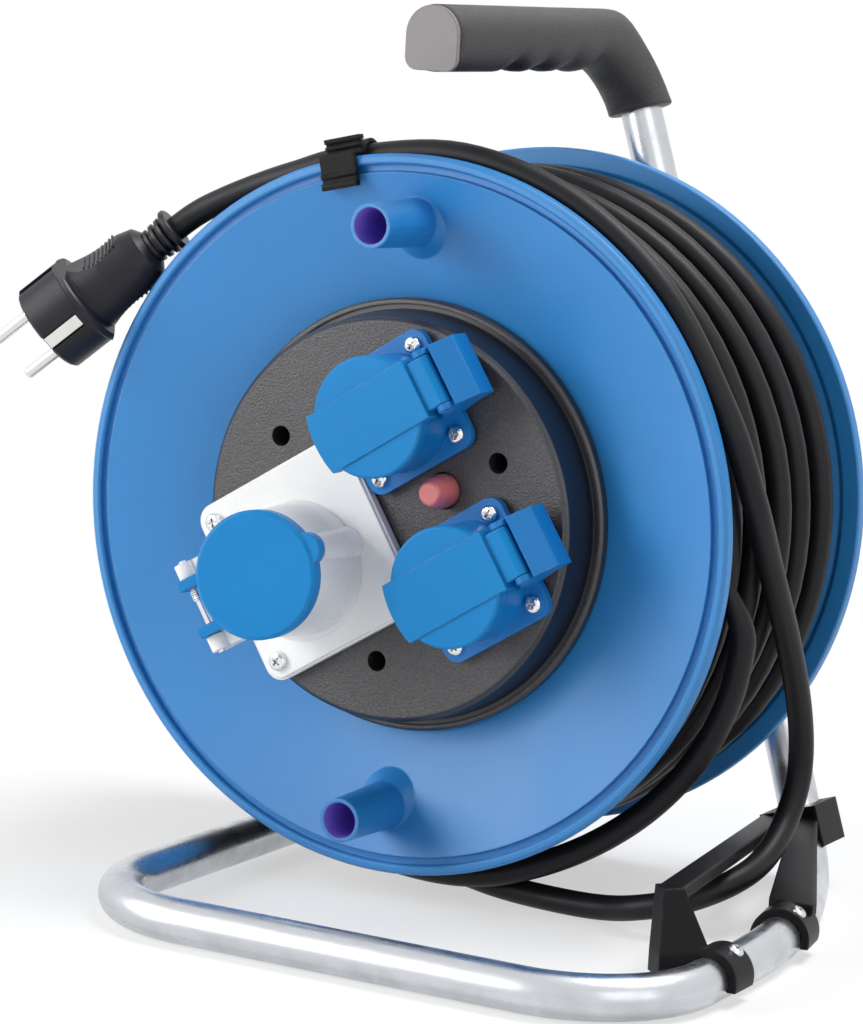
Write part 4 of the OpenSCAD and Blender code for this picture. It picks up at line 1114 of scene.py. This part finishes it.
@dataclass
class CordSet:
    """The plug's cord, which is led through the clip and the guide, and one slack turn."""

    diameter: float = 10.0
    sides: int = 28
    free_route: list[Point] = field(default_factory=lambda: [
        (-112.5, 12, 102.1), (-105.6, 14.3, 107.9), (-97, 15, 112.9), (-80, 14.2, 120.4),
        (-60, 13.4, 127.8), (-33, 13.2, 136), (14, 13.2, 140.4), (62, 13, 126.5), (102, 12.6, 96.5),
        (130, 13.2, 54), (139.8, 22, 22), (140.8, 40, -6), (140.2, 64, -38), (139.6, 82, -68),
        (139, 88, -92), (137.8, 82, -110), (137.4, 64, -123), (134, 44, -129.6), (122, 29, -136),
        (104, 25, -141.5), (84, 30, -146), (60, 32, -146.8), (34, 37, -146.6), (8, 43, -144),
        (-22, 48, -138.8), (-62, 54, -126), (-106, 57, -92.5), (-136, 56, -38), (-140.4, 55, 6),
        (-138.4, 54.4, 20)])
    slack_route: list[Point] = field(default_factory=lambda: [
        (139.6, 18, -1), (139, 19.4, -14), (138.6, 24, -34), (131.5, 29, -60), (117, 32, -86),
        (96, 32, -109), (70, 29, -127), (40, 26, -139), (10, 26, -142.4), (-24, 29, -138.6),
        (-62, 34, -126), (-96, 38, -102.5), (-105.4, 39, -92.8)])
    tuck_run: float = 34.0
    tuck_depth: float = 9.5
    tuck_taper: float = 0.5
    steps: int = 8

    def tucked(self, line: list[Vector], both: bool) -> tuple[list[Vector], list[float]]:
        """Lead the start of a line down between the turns on the drum.

        Args:
            line: The line in metres.
            both: Whether its far end goes down too.

        Returns:
            The new line, and the cable's radius at each of its points.
        """
        total, run, points, radii = length_of(line), 0.0, [], []
        for i, point in enumerate(line):
            run += (point - line[i - 1]).length if i else 0.0
            off = min(1.0, (min(run, total - run) if both else run) / (self.tuck_run * MM))
            share = 1.0 - off * off * (3 - 2 * off)
            inward = Vector((AXLE.x - point.x, 0.0, AXLE.z - point.z)).normalized()
            points.append(point + inward * share * self.tuck_depth * MM)
            radii.append((1.0 - self.tuck_taper * share) * self.diameter / 2 * MM)
        return points, radii

    def cable(
        self, name: str, line: list[Vector], radii: list[float], finishes: Finishes, node: str
    ) -> bpy.types.Object:
        """Make one length of cable.

        Args:
            name: The piece's name.
            line: Its centreline in metres.
            radii: Its radius at each point, in metres.
            finishes: The reel's finishes.
            node: The CAD node it stands for.

        Returns:
            The piece.
        """
        made = sweep(name, line, radii, self.sides)
        return dressed(made, finishes.get("cable_rubber"), "frame", "cable_rubber", node)

    def build(self, finishes: Finishes) -> None:
        line, radii = self.tucked(smooth_line(self.free_route[::-1], self.steps), False)
        free = self.cable("plug_cord", line, radii, finishes, "free_cord")
        length_of(line)
        line, radii = self.tucked(smooth_line(self.slack_route, self.steps), True)
        slack = self.cable("slack_turn", line, radii, finishes, "loose_turn")
        length_of(line)


@dataclass
class Winding:
    """The cable on the drum: an uneven outer layer over a close inner one.

    Every other turn of the outer layer rides up over its neighbours, and sinks between them again
    on the far side of the drum.
    """

    width: float = 135.0
    outer_r: float = 127.0
    pitch: float = 10.7
    turns: int = 9
    sway: float = 7.0
    lift: float = 2.7
    lift_at: float = 0.2
    hug: float = 2.2
    inner_r: float = 118.8
    inner_pitch: float = 10.1
    inner_turns: int = 10
    core_r: float = 119.4
    core_edge: float = 12.0
    barrel_r: float = 82.4
    barrel_edge: float = 18.5
    front_y: float = 17.6
    cable_r: float = 5.0
    outer_uneven: float = 1.5
    inner_uneven: float = 0.15
    start_at: float = -60.0
    sway_at: float = 50.0
    steps: int = 72
    overrun: int = 3
    outer_sides: int = 20
    inner_sides: int = 12
    core_sides: int = 128
    seed: int = 11
    waves: int = 5
    wave_rate: tuple[float, float] = (0.6, 2.6)
    wave_size: tuple[float, float] = (0.2, 0.55)
    wave_phase: tuple[float, float] = (0, 6.28)
    ripple: tuple[float, float, float] = (0.4, 2.3, 1.7)

    def wander(self) -> list[tuple[float, float, float]]:
        """Slow unevenness as waves: how many a turn, how far along, and their phase."""
        dice = random.Random(self.seed)
        return [(dice.uniform(*self.wave_rate), dice.uniform(*self.wave_size),
                 dice.uniform(*self.wave_phase)) for _ in range(self.waves)]

    def turn_line(
        self, radius: float, pitch: float, turns: int, sway: float, uneven: float, lift: float
    ) -> list[Vector]:
        """Centreline of one layer.

        Args:
            radius: Radius of the layer.
            pitch: Spacing of its turns.
            turns: How many turns it has.
            sway: How far a turn strays along the axis.
            uneven: Size of the slow unevenness.
            lift: How far every other turn rides up.

        Returns:
            Points in metres.
        """
        waves, line = self.wander(), []
        share, per_angle, per_stray = self.ripple
        for i in range(-self.overrun, turns * self.steps + self.overrun + 1):
            t = i / self.steps
            a = math.radians(360 * t + self.start_at)
            stray = sum(size * math.sin(2 * math.pi * rate * t + phase)
                        for rate, size, phase in waves)
            y = self.width / 2 + (t - turns / 2) * pitch + uneven * stray
            y += sway * math.cos(math.radians(360 * t - self.sway_at))
            over = math.tanh(self.hug * math.cos(math.pi * (t - self.lift_at)))
            r = (radius + lift * over / math.tanh(self.hug)
                 + uneven * share * math.sin(per_angle * a + per_stray * stray))
            x, z = on_circle(r, a)
            line.append(reel((x, min(max(y, self.front_y), self.width - self.front_y), z)))
        return line

    def build(self, finishes: Finishes) -> None:
        """Wind both layers."""
        rubber = finishes.get("cable_rubber")
        line = self.turn_line(
            self.outer_r, self.pitch, self.turns, self.sway, self.outer_uneven, self.lift)
        outer = sweep("cable_outer_layer", line, self.cable_r * MM, self.outer_sides)
        dressed(outer, rubber, "drum", "cable_rubber", "winding")
        line = self.turn_line(
            self.inner_r, self.inner_pitch, self.inner_turns, 0.0, self.inner_uneven, 0.0)
        inner = sweep("cable_inner_layer", line, self.cable_r * MM, self.inner_sides)
        profile = [(self.barrel_r, self.barrel_edge - self.width),
                   (self.core_r, self.core_edge - self.width),
                   (self.core_r, -self.core_edge), (self.barrel_r, -self.barrel_edge)]
        core = lathe("cable_core", profile, drum_frame(), self.core_sides)
        store(core.data, "run", [v.co for v in core.data.vertices])
        dressed(joined("cable_lower_layers", [inner, core]), rubber, "drum", "cable_rubber",
                "winding_core")


@dataclass
class Plug:
    """The moulded plug, its pins, and the ribs in its thumb recesses."""

    tail: Point = (-112.5, 12.0, 102.1)
    way: Point = (-0.7065, -0.2704, -0.6545)
    roll: float = -19.0
    flat_at: float = 30.5
    flat_r: float = 26.0
    flat_off: float = 37.0
    body_r: float = 14.0
    ribs: int = 8
    rib_step: float = 4.7
    rib_inset: float = 0.6
    rib_w: float = 0.7
    rib_h: float = 0.5
    rib_sides: int = 10
    rib_sharp: float = 60.0
    rib_ends: tuple[tuple[float, float], ...] = ((-1.0, 0.3), (-0.93, 1.0), (0.93, 1.0), (1.0, 0.3))

    def place(self) -> Matrix:
        """The plug's frame, with Z towards its pins."""
        d = Vector(self.way).normalized()
        return (Matrix.Translation(reel(self.tail)) @ spin(math.atan2(d.y, d.x))
                @ spin(math.acos(d.z), "Y") @ spin(math.radians(self.roll)))

    def rib_places(self) -> Places:
        """Frames of the ribs across both thumb flats, with their lengths."""
        places, across = [], spin(math.radians(90))
        for side in (-1, 1):
            for i in range(self.ribs):
                a = math.radians((i - (self.ribs - 1) / 2) * self.rib_step)
                sunk, along = on_circle(self.flat_r, a)
                x = self.flat_off - sunk
                half = math.sqrt(self.body_r ** 2 - x ** 2) - self.rib_inset
                at = shift(side * x, 0, self.flat_at + along)
                places.append((self.place() @ at @ across, (half, 1.0, 1.0)))
        return places

    def rib(self) -> bpy.types.Object:
        """One rib of unit half length along X, rounded over its top."""
        points = []
        for x, share in self.rib_ends:
            for i in range(self.rib_sides):
                u, v = on_circle(share, 2 * math.pi * i / self.rib_sides)
                points.append(Vector((x, self.rib_w * u, self.rib_h * v)) * MM)
        faces = grid_faces(len(self.rib_ends), self.rib_sides)
        return piece("rib", points, faces, self.rib_sharp)

    def build(self, finishes: Finishes) -> None:
        """Dress the plug and add its ribs."""
        finishes.dress("black_rubber", "plug_body", "plug_sleeve")
        finishes.dress("pin_steel", "plug_pins", "plug_earth_strips")
        rubber = finishes.get("black_rubber")
        ribs = Repeat("plug_thumb_ribs", self.rib(), rubber).at(self.rib_places())
        dressed(ribs, rubber, "frame", "black_rubber")


# ---------------------------------------------------------------------------
# Stand


@dataclass
class Stand:
    """The bent tube, the weld where its leg meets the upright, the axle and the cable guide."""

    tube_r: float = 8.5
    leg_top: Point = (45.9, 150.0, 88.0)
    foot: Point = (-75.0, 150.0, -144.0)
    corners: list[Point] = field(default_factory=lambda: [
        (-75, -100.5, -144), (164, -100.5, -144), (164, 35, -144), (122.2, 150, -144),
        (13.6, 150, 186), (13.6, -10, 186)])
    bends: list[float] = field(default_factory=lambda: [34, 48, 48, 300, 50, 30])
    bend_step: float = 4.0
    ring_step: float = 12.0
    sides: int = 40
    beads: int = 26
    bead_r: float = 1.5
    bead_stretch: Point = (1.0, 1.15, 0.8)
    weld_reach: float = 50.0
    halvings: int = 24

    def tube(self, finishes: Finishes) -> None:
        """Bend the tube from the weld round to the grip."""
        line = bent_line([self.leg_top, self.foot, *self.corners], self.bends, self.bend_step)
        dense = [line[0]]
        for a, b in zip(line, line[1:]):
            parts = max(1, round((b - a).length / (self.ring_step * MM)))
            dense += [a.lerp(b, k / parts) for k in range(1, parts + 1)]
        made = sweep("stand_tube", dense, self.tube_r * MM, self.sides)
        dressed(made, finishes.get("galvanised_steel"), "frame", "galvanised_steel", "tube_frame")

    def weld(self, finishes: Finishes) -> None:
        """Lay the ripples of the weld round the end of the leg, where it meets the upright."""
        up = (reel(self.corners[4]) - reel(self.corners[3])).normalized()
        top, side = reel(self.leg_top), Vector((0, 1, 0))
        leg = (top - reel(self.foot)).normalized()
        across = leg.cross(side).normalized()
        places = []
        for k in range(self.beads):
            a = 2 * math.pi * k / self.beads
            u, v = on_circle(self.tube_r * MM, a)
            start = top + across * u + side * v
            low, high = 0.0, self.weld_reach * MM
            for _ in range(self.halvings):
                mid = (low + high) / 2
                off = start - leg * mid - top
                inside = (off - up * off.dot(up)).length < self.tube_r * MM
                low, high = (mid, high) if inside else (low, mid)
            turn = leg.to_track_quat("Z", "Y").to_matrix().to_4x4() @ spin(a)
            places.append((Matrix.Translation(start - leg * high) @ turn, self.bead_stretch))
        bead = bpy.data.meshes.new("bead")
        with reshaping(bead) as form:
            bmesh.ops.create_icosphere(form, subdivisions=2, radius=self.bead_r * MM)
        bead.shade_smooth()
        steel = finishes.get("weld_steel")
        made = Repeat("stand_weld", linked("bead", bead), steel).at(places)
        dressed(made, steel, "frame", "galvanised_steel")

    def build(self, finishes: Finishes) -> None:
        """Make the tube and dress what is fixed to it."""
        self.tube(finishes)
        self.weld(finishes)
        finishes.dress(
            "zinc_steel", "axle", "axle_washers", "axle_nut", "axle_end_screw", "guide_screws")
        finishes.dress("black_moulding", "cable_guide", "rim_clip")


@dataclass
class Grip:
    """The moulded grip: four finger grooves below, and a wedge round the tube's elbow."""

    x: float = 13.6
    front: float = -14.0
    rise: float = 186.0
    elbow_y: float = 120.0
    elbow_r: float = 30.0
    half_w: float = 11.4
    top: float = 11.4
    drop: float = 13.9
    groove: float = 3.0
    groove_first: float = 40.0
    groove_step: float = 23.7
    sides: int = 40
    upright: Point = (-0.31258, 0.0, 0.94988)
    corner_at: float = 27.0
    corner_soft: float = 14.0
    corner_out: float = 1.5
    round_power: tuple[float, float] = (0.95, 0.8)
    groove_half: float = 11.0
    grooves: int = 4
    front_edge: tuple[tuple[float, float], ...] = ((1.6, 0.0), (0.5, 0.5), (0.0, 1.6))
    grooves_from: float = 4.0
    turn_from: float = 60.0
    ring_step: float = 2.5
    elbow_step: int = 5
    elbow_wider: float = 1.5
    elbow_less: float = 0.9
    elbow_bulge: float = 4.0
    mouth: tuple[float, float] = (12.9, 13.0)
    mouth_edge: tuple[tuple[float, float], ...] = ((0.3, 0.0), (0.9, -0.6))
    sharp: float = 50.0

    def wedge(self, angle: float) -> float:
        """Reach of the elbow's outer side.

        Args:
            angle: How far round the elbow, in degrees.

        Returns:
            Distance from the elbow's centre, in millimetres.
        """
        a, corner, soft = math.radians(angle), math.radians(self.corner_at), self.corner_soft
        high = self.elbow_r + self.top
        end = high + self.corner_out
        run = Vector((-high, end - high * math.tan(corner))).normalized()
        facing = Vector((run.y, -run.x))
        slope = (facing.x * math.cos(a) + facing.y * math.sin(a)) / (facing.y * end)
        return ((math.cos(a) / high) ** soft + slope ** soft) ** (-1 / soft)

    def section(
        self, centre: Vector, down: Vector, way: Vector, w: float, t: float, d: float
    ) -> list[Vector]:
        """One section of the grip.

        Args:
            centre: Its centre in millimetres from the axle.
            down: Direction of the fingers.
            way: Direction along the grip.
            w: Half width.
            t: Reach away from the fingers.
            d: Reach towards the fingers.

        Returns:
            Its points in metres.
        """
        side = way.cross(down).normalized()
        points = []
        for k in range(self.sides):
            c, s = on_circle(1.0, 2 * math.pi * k / self.sides)
            power = self.round_power[s > 0]
            u = math.copysign(abs(c) ** power, c) * w
            v = math.copysign(abs(s) ** power, s) * (d if s > 0 else t)
            points.append(reel(centre + side * u + down * v))
        return points

    def cut(self, y: float) -> float:
        """Depth of the finger grooves at a place along the grip."""
        middles = (self.groove_first + i * self.groove_step for i in range(self.grooves))
        nearest = min(1.0, min(abs(y - middle) for middle in middles) / self.groove_half)
        return self.groove * 0.5 * (1 + math.cos(math.pi * nearest))

    def rings(self) -> list[list[Vector]]:
        """Sections from the front end to the mouth on the upright."""
        up, low, back = Vector(self.upright), Vector((0, 0, -1)), Vector((0, 1, 0))
        rings = []
        for pull, off in self.front_edge:
            rings.append(self.section(
                Vector((self.x, self.front + off, self.rise)), low, back,
                self.half_w - pull, self.top - pull, self.drop - pull))
        y = self.front + self.grooves_from
        while y < self.elbow_y:
            share = max(0.0, (y - self.turn_from) / (self.elbow_y - self.turn_from))
            rings.append(self.section(
                Vector((self.x, y, self.rise)), low.lerp(-up, share).normalized(), back,
                self.half_w, self.top, self.drop - self.cut(y)))
            y += self.ring_step
        hub = Vector((self.x, self.elbow_y, self.rise)) - up * self.elbow_r
        for angle in range(0, 91, self.elbow_step):
            c, s = on_circle(1.0, math.radians(angle))
            out, way, share = up * c + back * s, back * c - up * s, angle / 90
            rings.append(self.section(
                hub + out * self.elbow_r, -out, way, self.half_w + self.elbow_wider * share,
                self.wedge(angle) - self.elbow_r,
                self.drop - self.elbow_less * share + self.elbow_bulge * 2 * s * c))
        end, (wide, deep) = hub + back * self.elbow_r, self.mouth
        for off, grow in self.mouth_edge:
            rings.append(self.section(
                end - up * off, -back, -up, wide + grow, wide + grow, deep + grow))
        return rings

    def build(self, finishes: Finishes) -> None:
        """Loft the grip and dress its end cap."""
        rings = self.rings()
        made = piece("grip_moulding", [p for ring in rings for p in ring],
                     grid_faces(len(rings), self.sides), self.sharp)
        dressed(made, finishes.get("black_grip"), "frame", "black_grip", "grip")
        finishes.dress("grip_cap_grey", "grip_end_cap")


# ---------------------------------------------------------------------------
# Drum and hub


@dataclass
class Drum:
    """Both flanges, the barrel, its screws and the bearing."""

    screw_circle: float = 75.0
    screws: int = 6
    first: float = 15.0
    seat: float = 14.5
    width: float = 135.0
    screw: PanHeadScrew = PanHeadScrew(3.3, 2.4, 1.5, 13.5)
    back_turn: float = 1.3

    def screw_places(self) -> Places:
        """Frames of the flange screws on both sides."""
        places = []
        for i in range(self.screws):
            a = math.radians(self.first + 360 / self.screws * i)
            x, y = on_circle(self.screw_circle, a)
            front = shift(x, y, -self.seat) @ spin(a)
            back = shift(x, y, self.seat - self.width) @ spin(math.pi, "X")
            back = back @ spin(self.back_turn * a)
            places += [(drum_frame() @ side, UNCHANGED) for side in (front, back)]
        return places

    def build(self, finishes: Finishes) -> None:
        """Dress the drum and set its screws."""
        finishes.dress("flange_blue", "front_flange", "rear_flange", "barrel")
        finishes.dress("bearing_plastic", "bearing_bushes")
        self.screw.drive(
            "drum_screws", self.screw_places(), finishes.get("zinc_steel"), "zinc_steel",
            "flange_screws")


@dataclass
class Hub:
    """The hub cover with its screws, the reset button and the wiring behind it."""

    screw_circle: float = 55.0
    angles: tuple[float, ...] = (30.0, 150.0, 270.0)
    screw_seat: float = -36.0
    screw: PanHeadScrew = PanHeadScrew(3.6, 2.6, 1.8, 19.5)
    screw_turn: float = 0.7

    def screw_places(self) -> Places:
        """Frames of the cover's screws, each turned a little further than the last."""
        places = []
        for i, angle in enumerate(self.angles):
            seat = shift(*on_circle(self.screw_circle, math.radians(angle)), self.screw_seat)
            places.append((drum_frame() @ seat @ spin(self.screw_turn * i), UNCHANGED))
        return places

    def build(self, finishes: Finishes) -> None:
        """Dress the cover and what it carries."""
        finishes.dress("hub_black", "hub_cover")
        finishes.dress("dark_plastic", "thermal_cutout", "strain_relief")
        finishes.dress("ivory_plastic", "terminal_block")
        finishes.dress("brown_wire", "live_wire")
        finishes.dress("blue_wire", "neutral_wire")
        finishes.dress("earth_wire", "earth_wire")
        finishes.dress("red_rubber", "reset_boot")
        finishes.dress("red_plastic", "reset_button")
        finishes.dress("black_rubber", "cable_tail")
        self.screw.drive(
            "cover_screws", self.screw_places(), finishes.get("zinc_steel"), "zinc_steel",
            "hub_cover_screws")


@dataclass
class Sockets:
    """Two domestic sockets with round sprung lids, and a three-pin socket with its lid."""

    domestic_at: tuple[tuple[float, float], ...] = ((5.6, 42.7), (42.2, -17.5))
    domestic_turn: float = 33.0
    domestic_pitch: float = 38.0
    domestic_seat: float = 4.5
    domestic_screw: PanHeadScrew = PanHeadScrew(3.4, 2.4, 1.6, 8.0)
    domestic_spring: tuple[float, float, int] = (1.62, 3.6, 8)
    hinge: Point = (30.0, 0.0, 24.0)
    cee_at: tuple[float, float] = (-30.5, -18.4)
    cee_turn: float = 32.0
    cee_pitch: float = 60.0
    cee_seat: float = 6.0
    cee_lean: float = 8.0
    cee_offset: Point = (-3.6, -2.5, 0.0)
    cee_hinge: Point = (-29.2, 4.9, 42.0)
    cee_screw: PanHeadScrew = PanHeadScrew(3.8, 2.6, 1.65, 9.0)
    cee_spring: tuple[float, float, int] = (1.85, 2.1, 5)
    screw_turns: tuple[float, float] = (0.5, 0.8)
    wire_r: float = 0.38
    wire_sides: int = 8
    coil_steps: int = 16

    def corners(
        self, at: tuple[float, float], turn: float, pitch: float, seat: float
    ) -> Places:
        """Frames of the screws in the corners of a socket's flange.

        Args:
            at: The socket's place on the hub face.
            turn: Its turn in degrees.
            pitch: Screw spacing.
            seat: Height of the flange.

        Returns:
            Frame and stretch of each screw.
        """
        places, (first, more) = [], self.screw_turns
        for i, (x, y) in enumerate(((-1, -1), (1, -1), (1, 1), (-1, 1))):
            corner = shift(x * pitch / 2, y * pitch / 2, seat) @ spin(first + more * i)
            places.append((hub_frame(at, turn) @ corner, UNCHANGED))
        return places

    def spring(
        self, name: str, place: Matrix, radius: float, half: float, turns: int
    ) -> bpy.types.Object:
        """A torsion spring about the frame's Y axis.

        Args:
            name: The spring's name.
            place: Frame of the spring's middle.
            radius: Radius of the coil.
            half: Half of its length.
            turns: How many turns it has.

        Returns:
            The spring.
        """
        line = []
        for i in range(turns * self.coil_steps + 1):
            wound = i / self.coil_steps
            x, z = on_circle(radius, 2 * math.pi * wound)
            line.append(place @ (Vector((x, half * (2 * wound / turns - 1), z)) * MM))
        return sweep(name, line, self.wire_r * MM, self.wire_sides)

    def build(self, finishes: Finishes) -> None:
        """Dress the sockets, set their screws and wind their springs."""
        finishes.dress("socket_blue", "schuko_a_body", "schuko_b_body")
        finishes.dress("lid_blue", "schuko_a_lid", "schuko_b_lid", "cee_lid")
        finishes.dress("white_plastic", "cee_body")
        finishes.dress("dark_plastic", "cee_insert")
        finishes.dress("seal_rubber", "schuko_gaskets", "cee_gasket", "schuko_a_seal",
                       "schuko_b_seal", "cee_seal")
        finishes.dress("contact_brass", "schuko_contacts", "cee_contacts")
        finishes.dress("chromed_steel", "schuko_earth_clips", "schuko_hinge_pins", "cee_hinge_pin")
        chrome, springs, places = finishes.get("chromed_steel"), [], []
        for at in self.domestic_at:
            places += self.corners(at, self.domestic_turn, self.domestic_pitch, self.domestic_seat)
            middle = hub_frame(at, self.domestic_turn) @ shift(*self.hinge)
            springs.append(self.spring("lid_spring", middle, *self.domestic_spring))
        self.domestic_screw.drive(
            "domestic_socket_screws", places, chrome, "chromed_steel", "schuko_screws")
        dressed(joined("domestic_lid_springs", springs), chrome, "drum", "zinc_steel",
                "schuko_springs")
        self.cee_screw.drive(
            "three_pin_socket_screws",
            self.corners(self.cee_at, self.cee_turn, self.cee_pitch, self.cee_seat),
            chrome, "chromed_steel", "cee_screws")
        middle = (hub_frame(self.cee_at, self.cee_turn) @ shift(*self.cee_offset)
                  @ spin(math.radians(self.cee_lean), "Y") @ shift(*self.cee_hinge))
        dressed(self.spring("three_pin_lid_spring", middle, *self.cee_spring), chrome, "drum",
                "zinc_steel", "cee_spring")


def main() -> None:
    """Build the studio, then every sub-assembly of the reel."""
    logging.basicConfig(level=logging.INFO, format="%(message)s")
    finishes = Finishes()
    Studio().build()
    for assembly in (CordSet(), Winding(), Plug(), Stand(), Grip(), Drum(), Hub(), Sockets()):
        assembly.build(finishes)


if __name__ == "__main__":
    main()
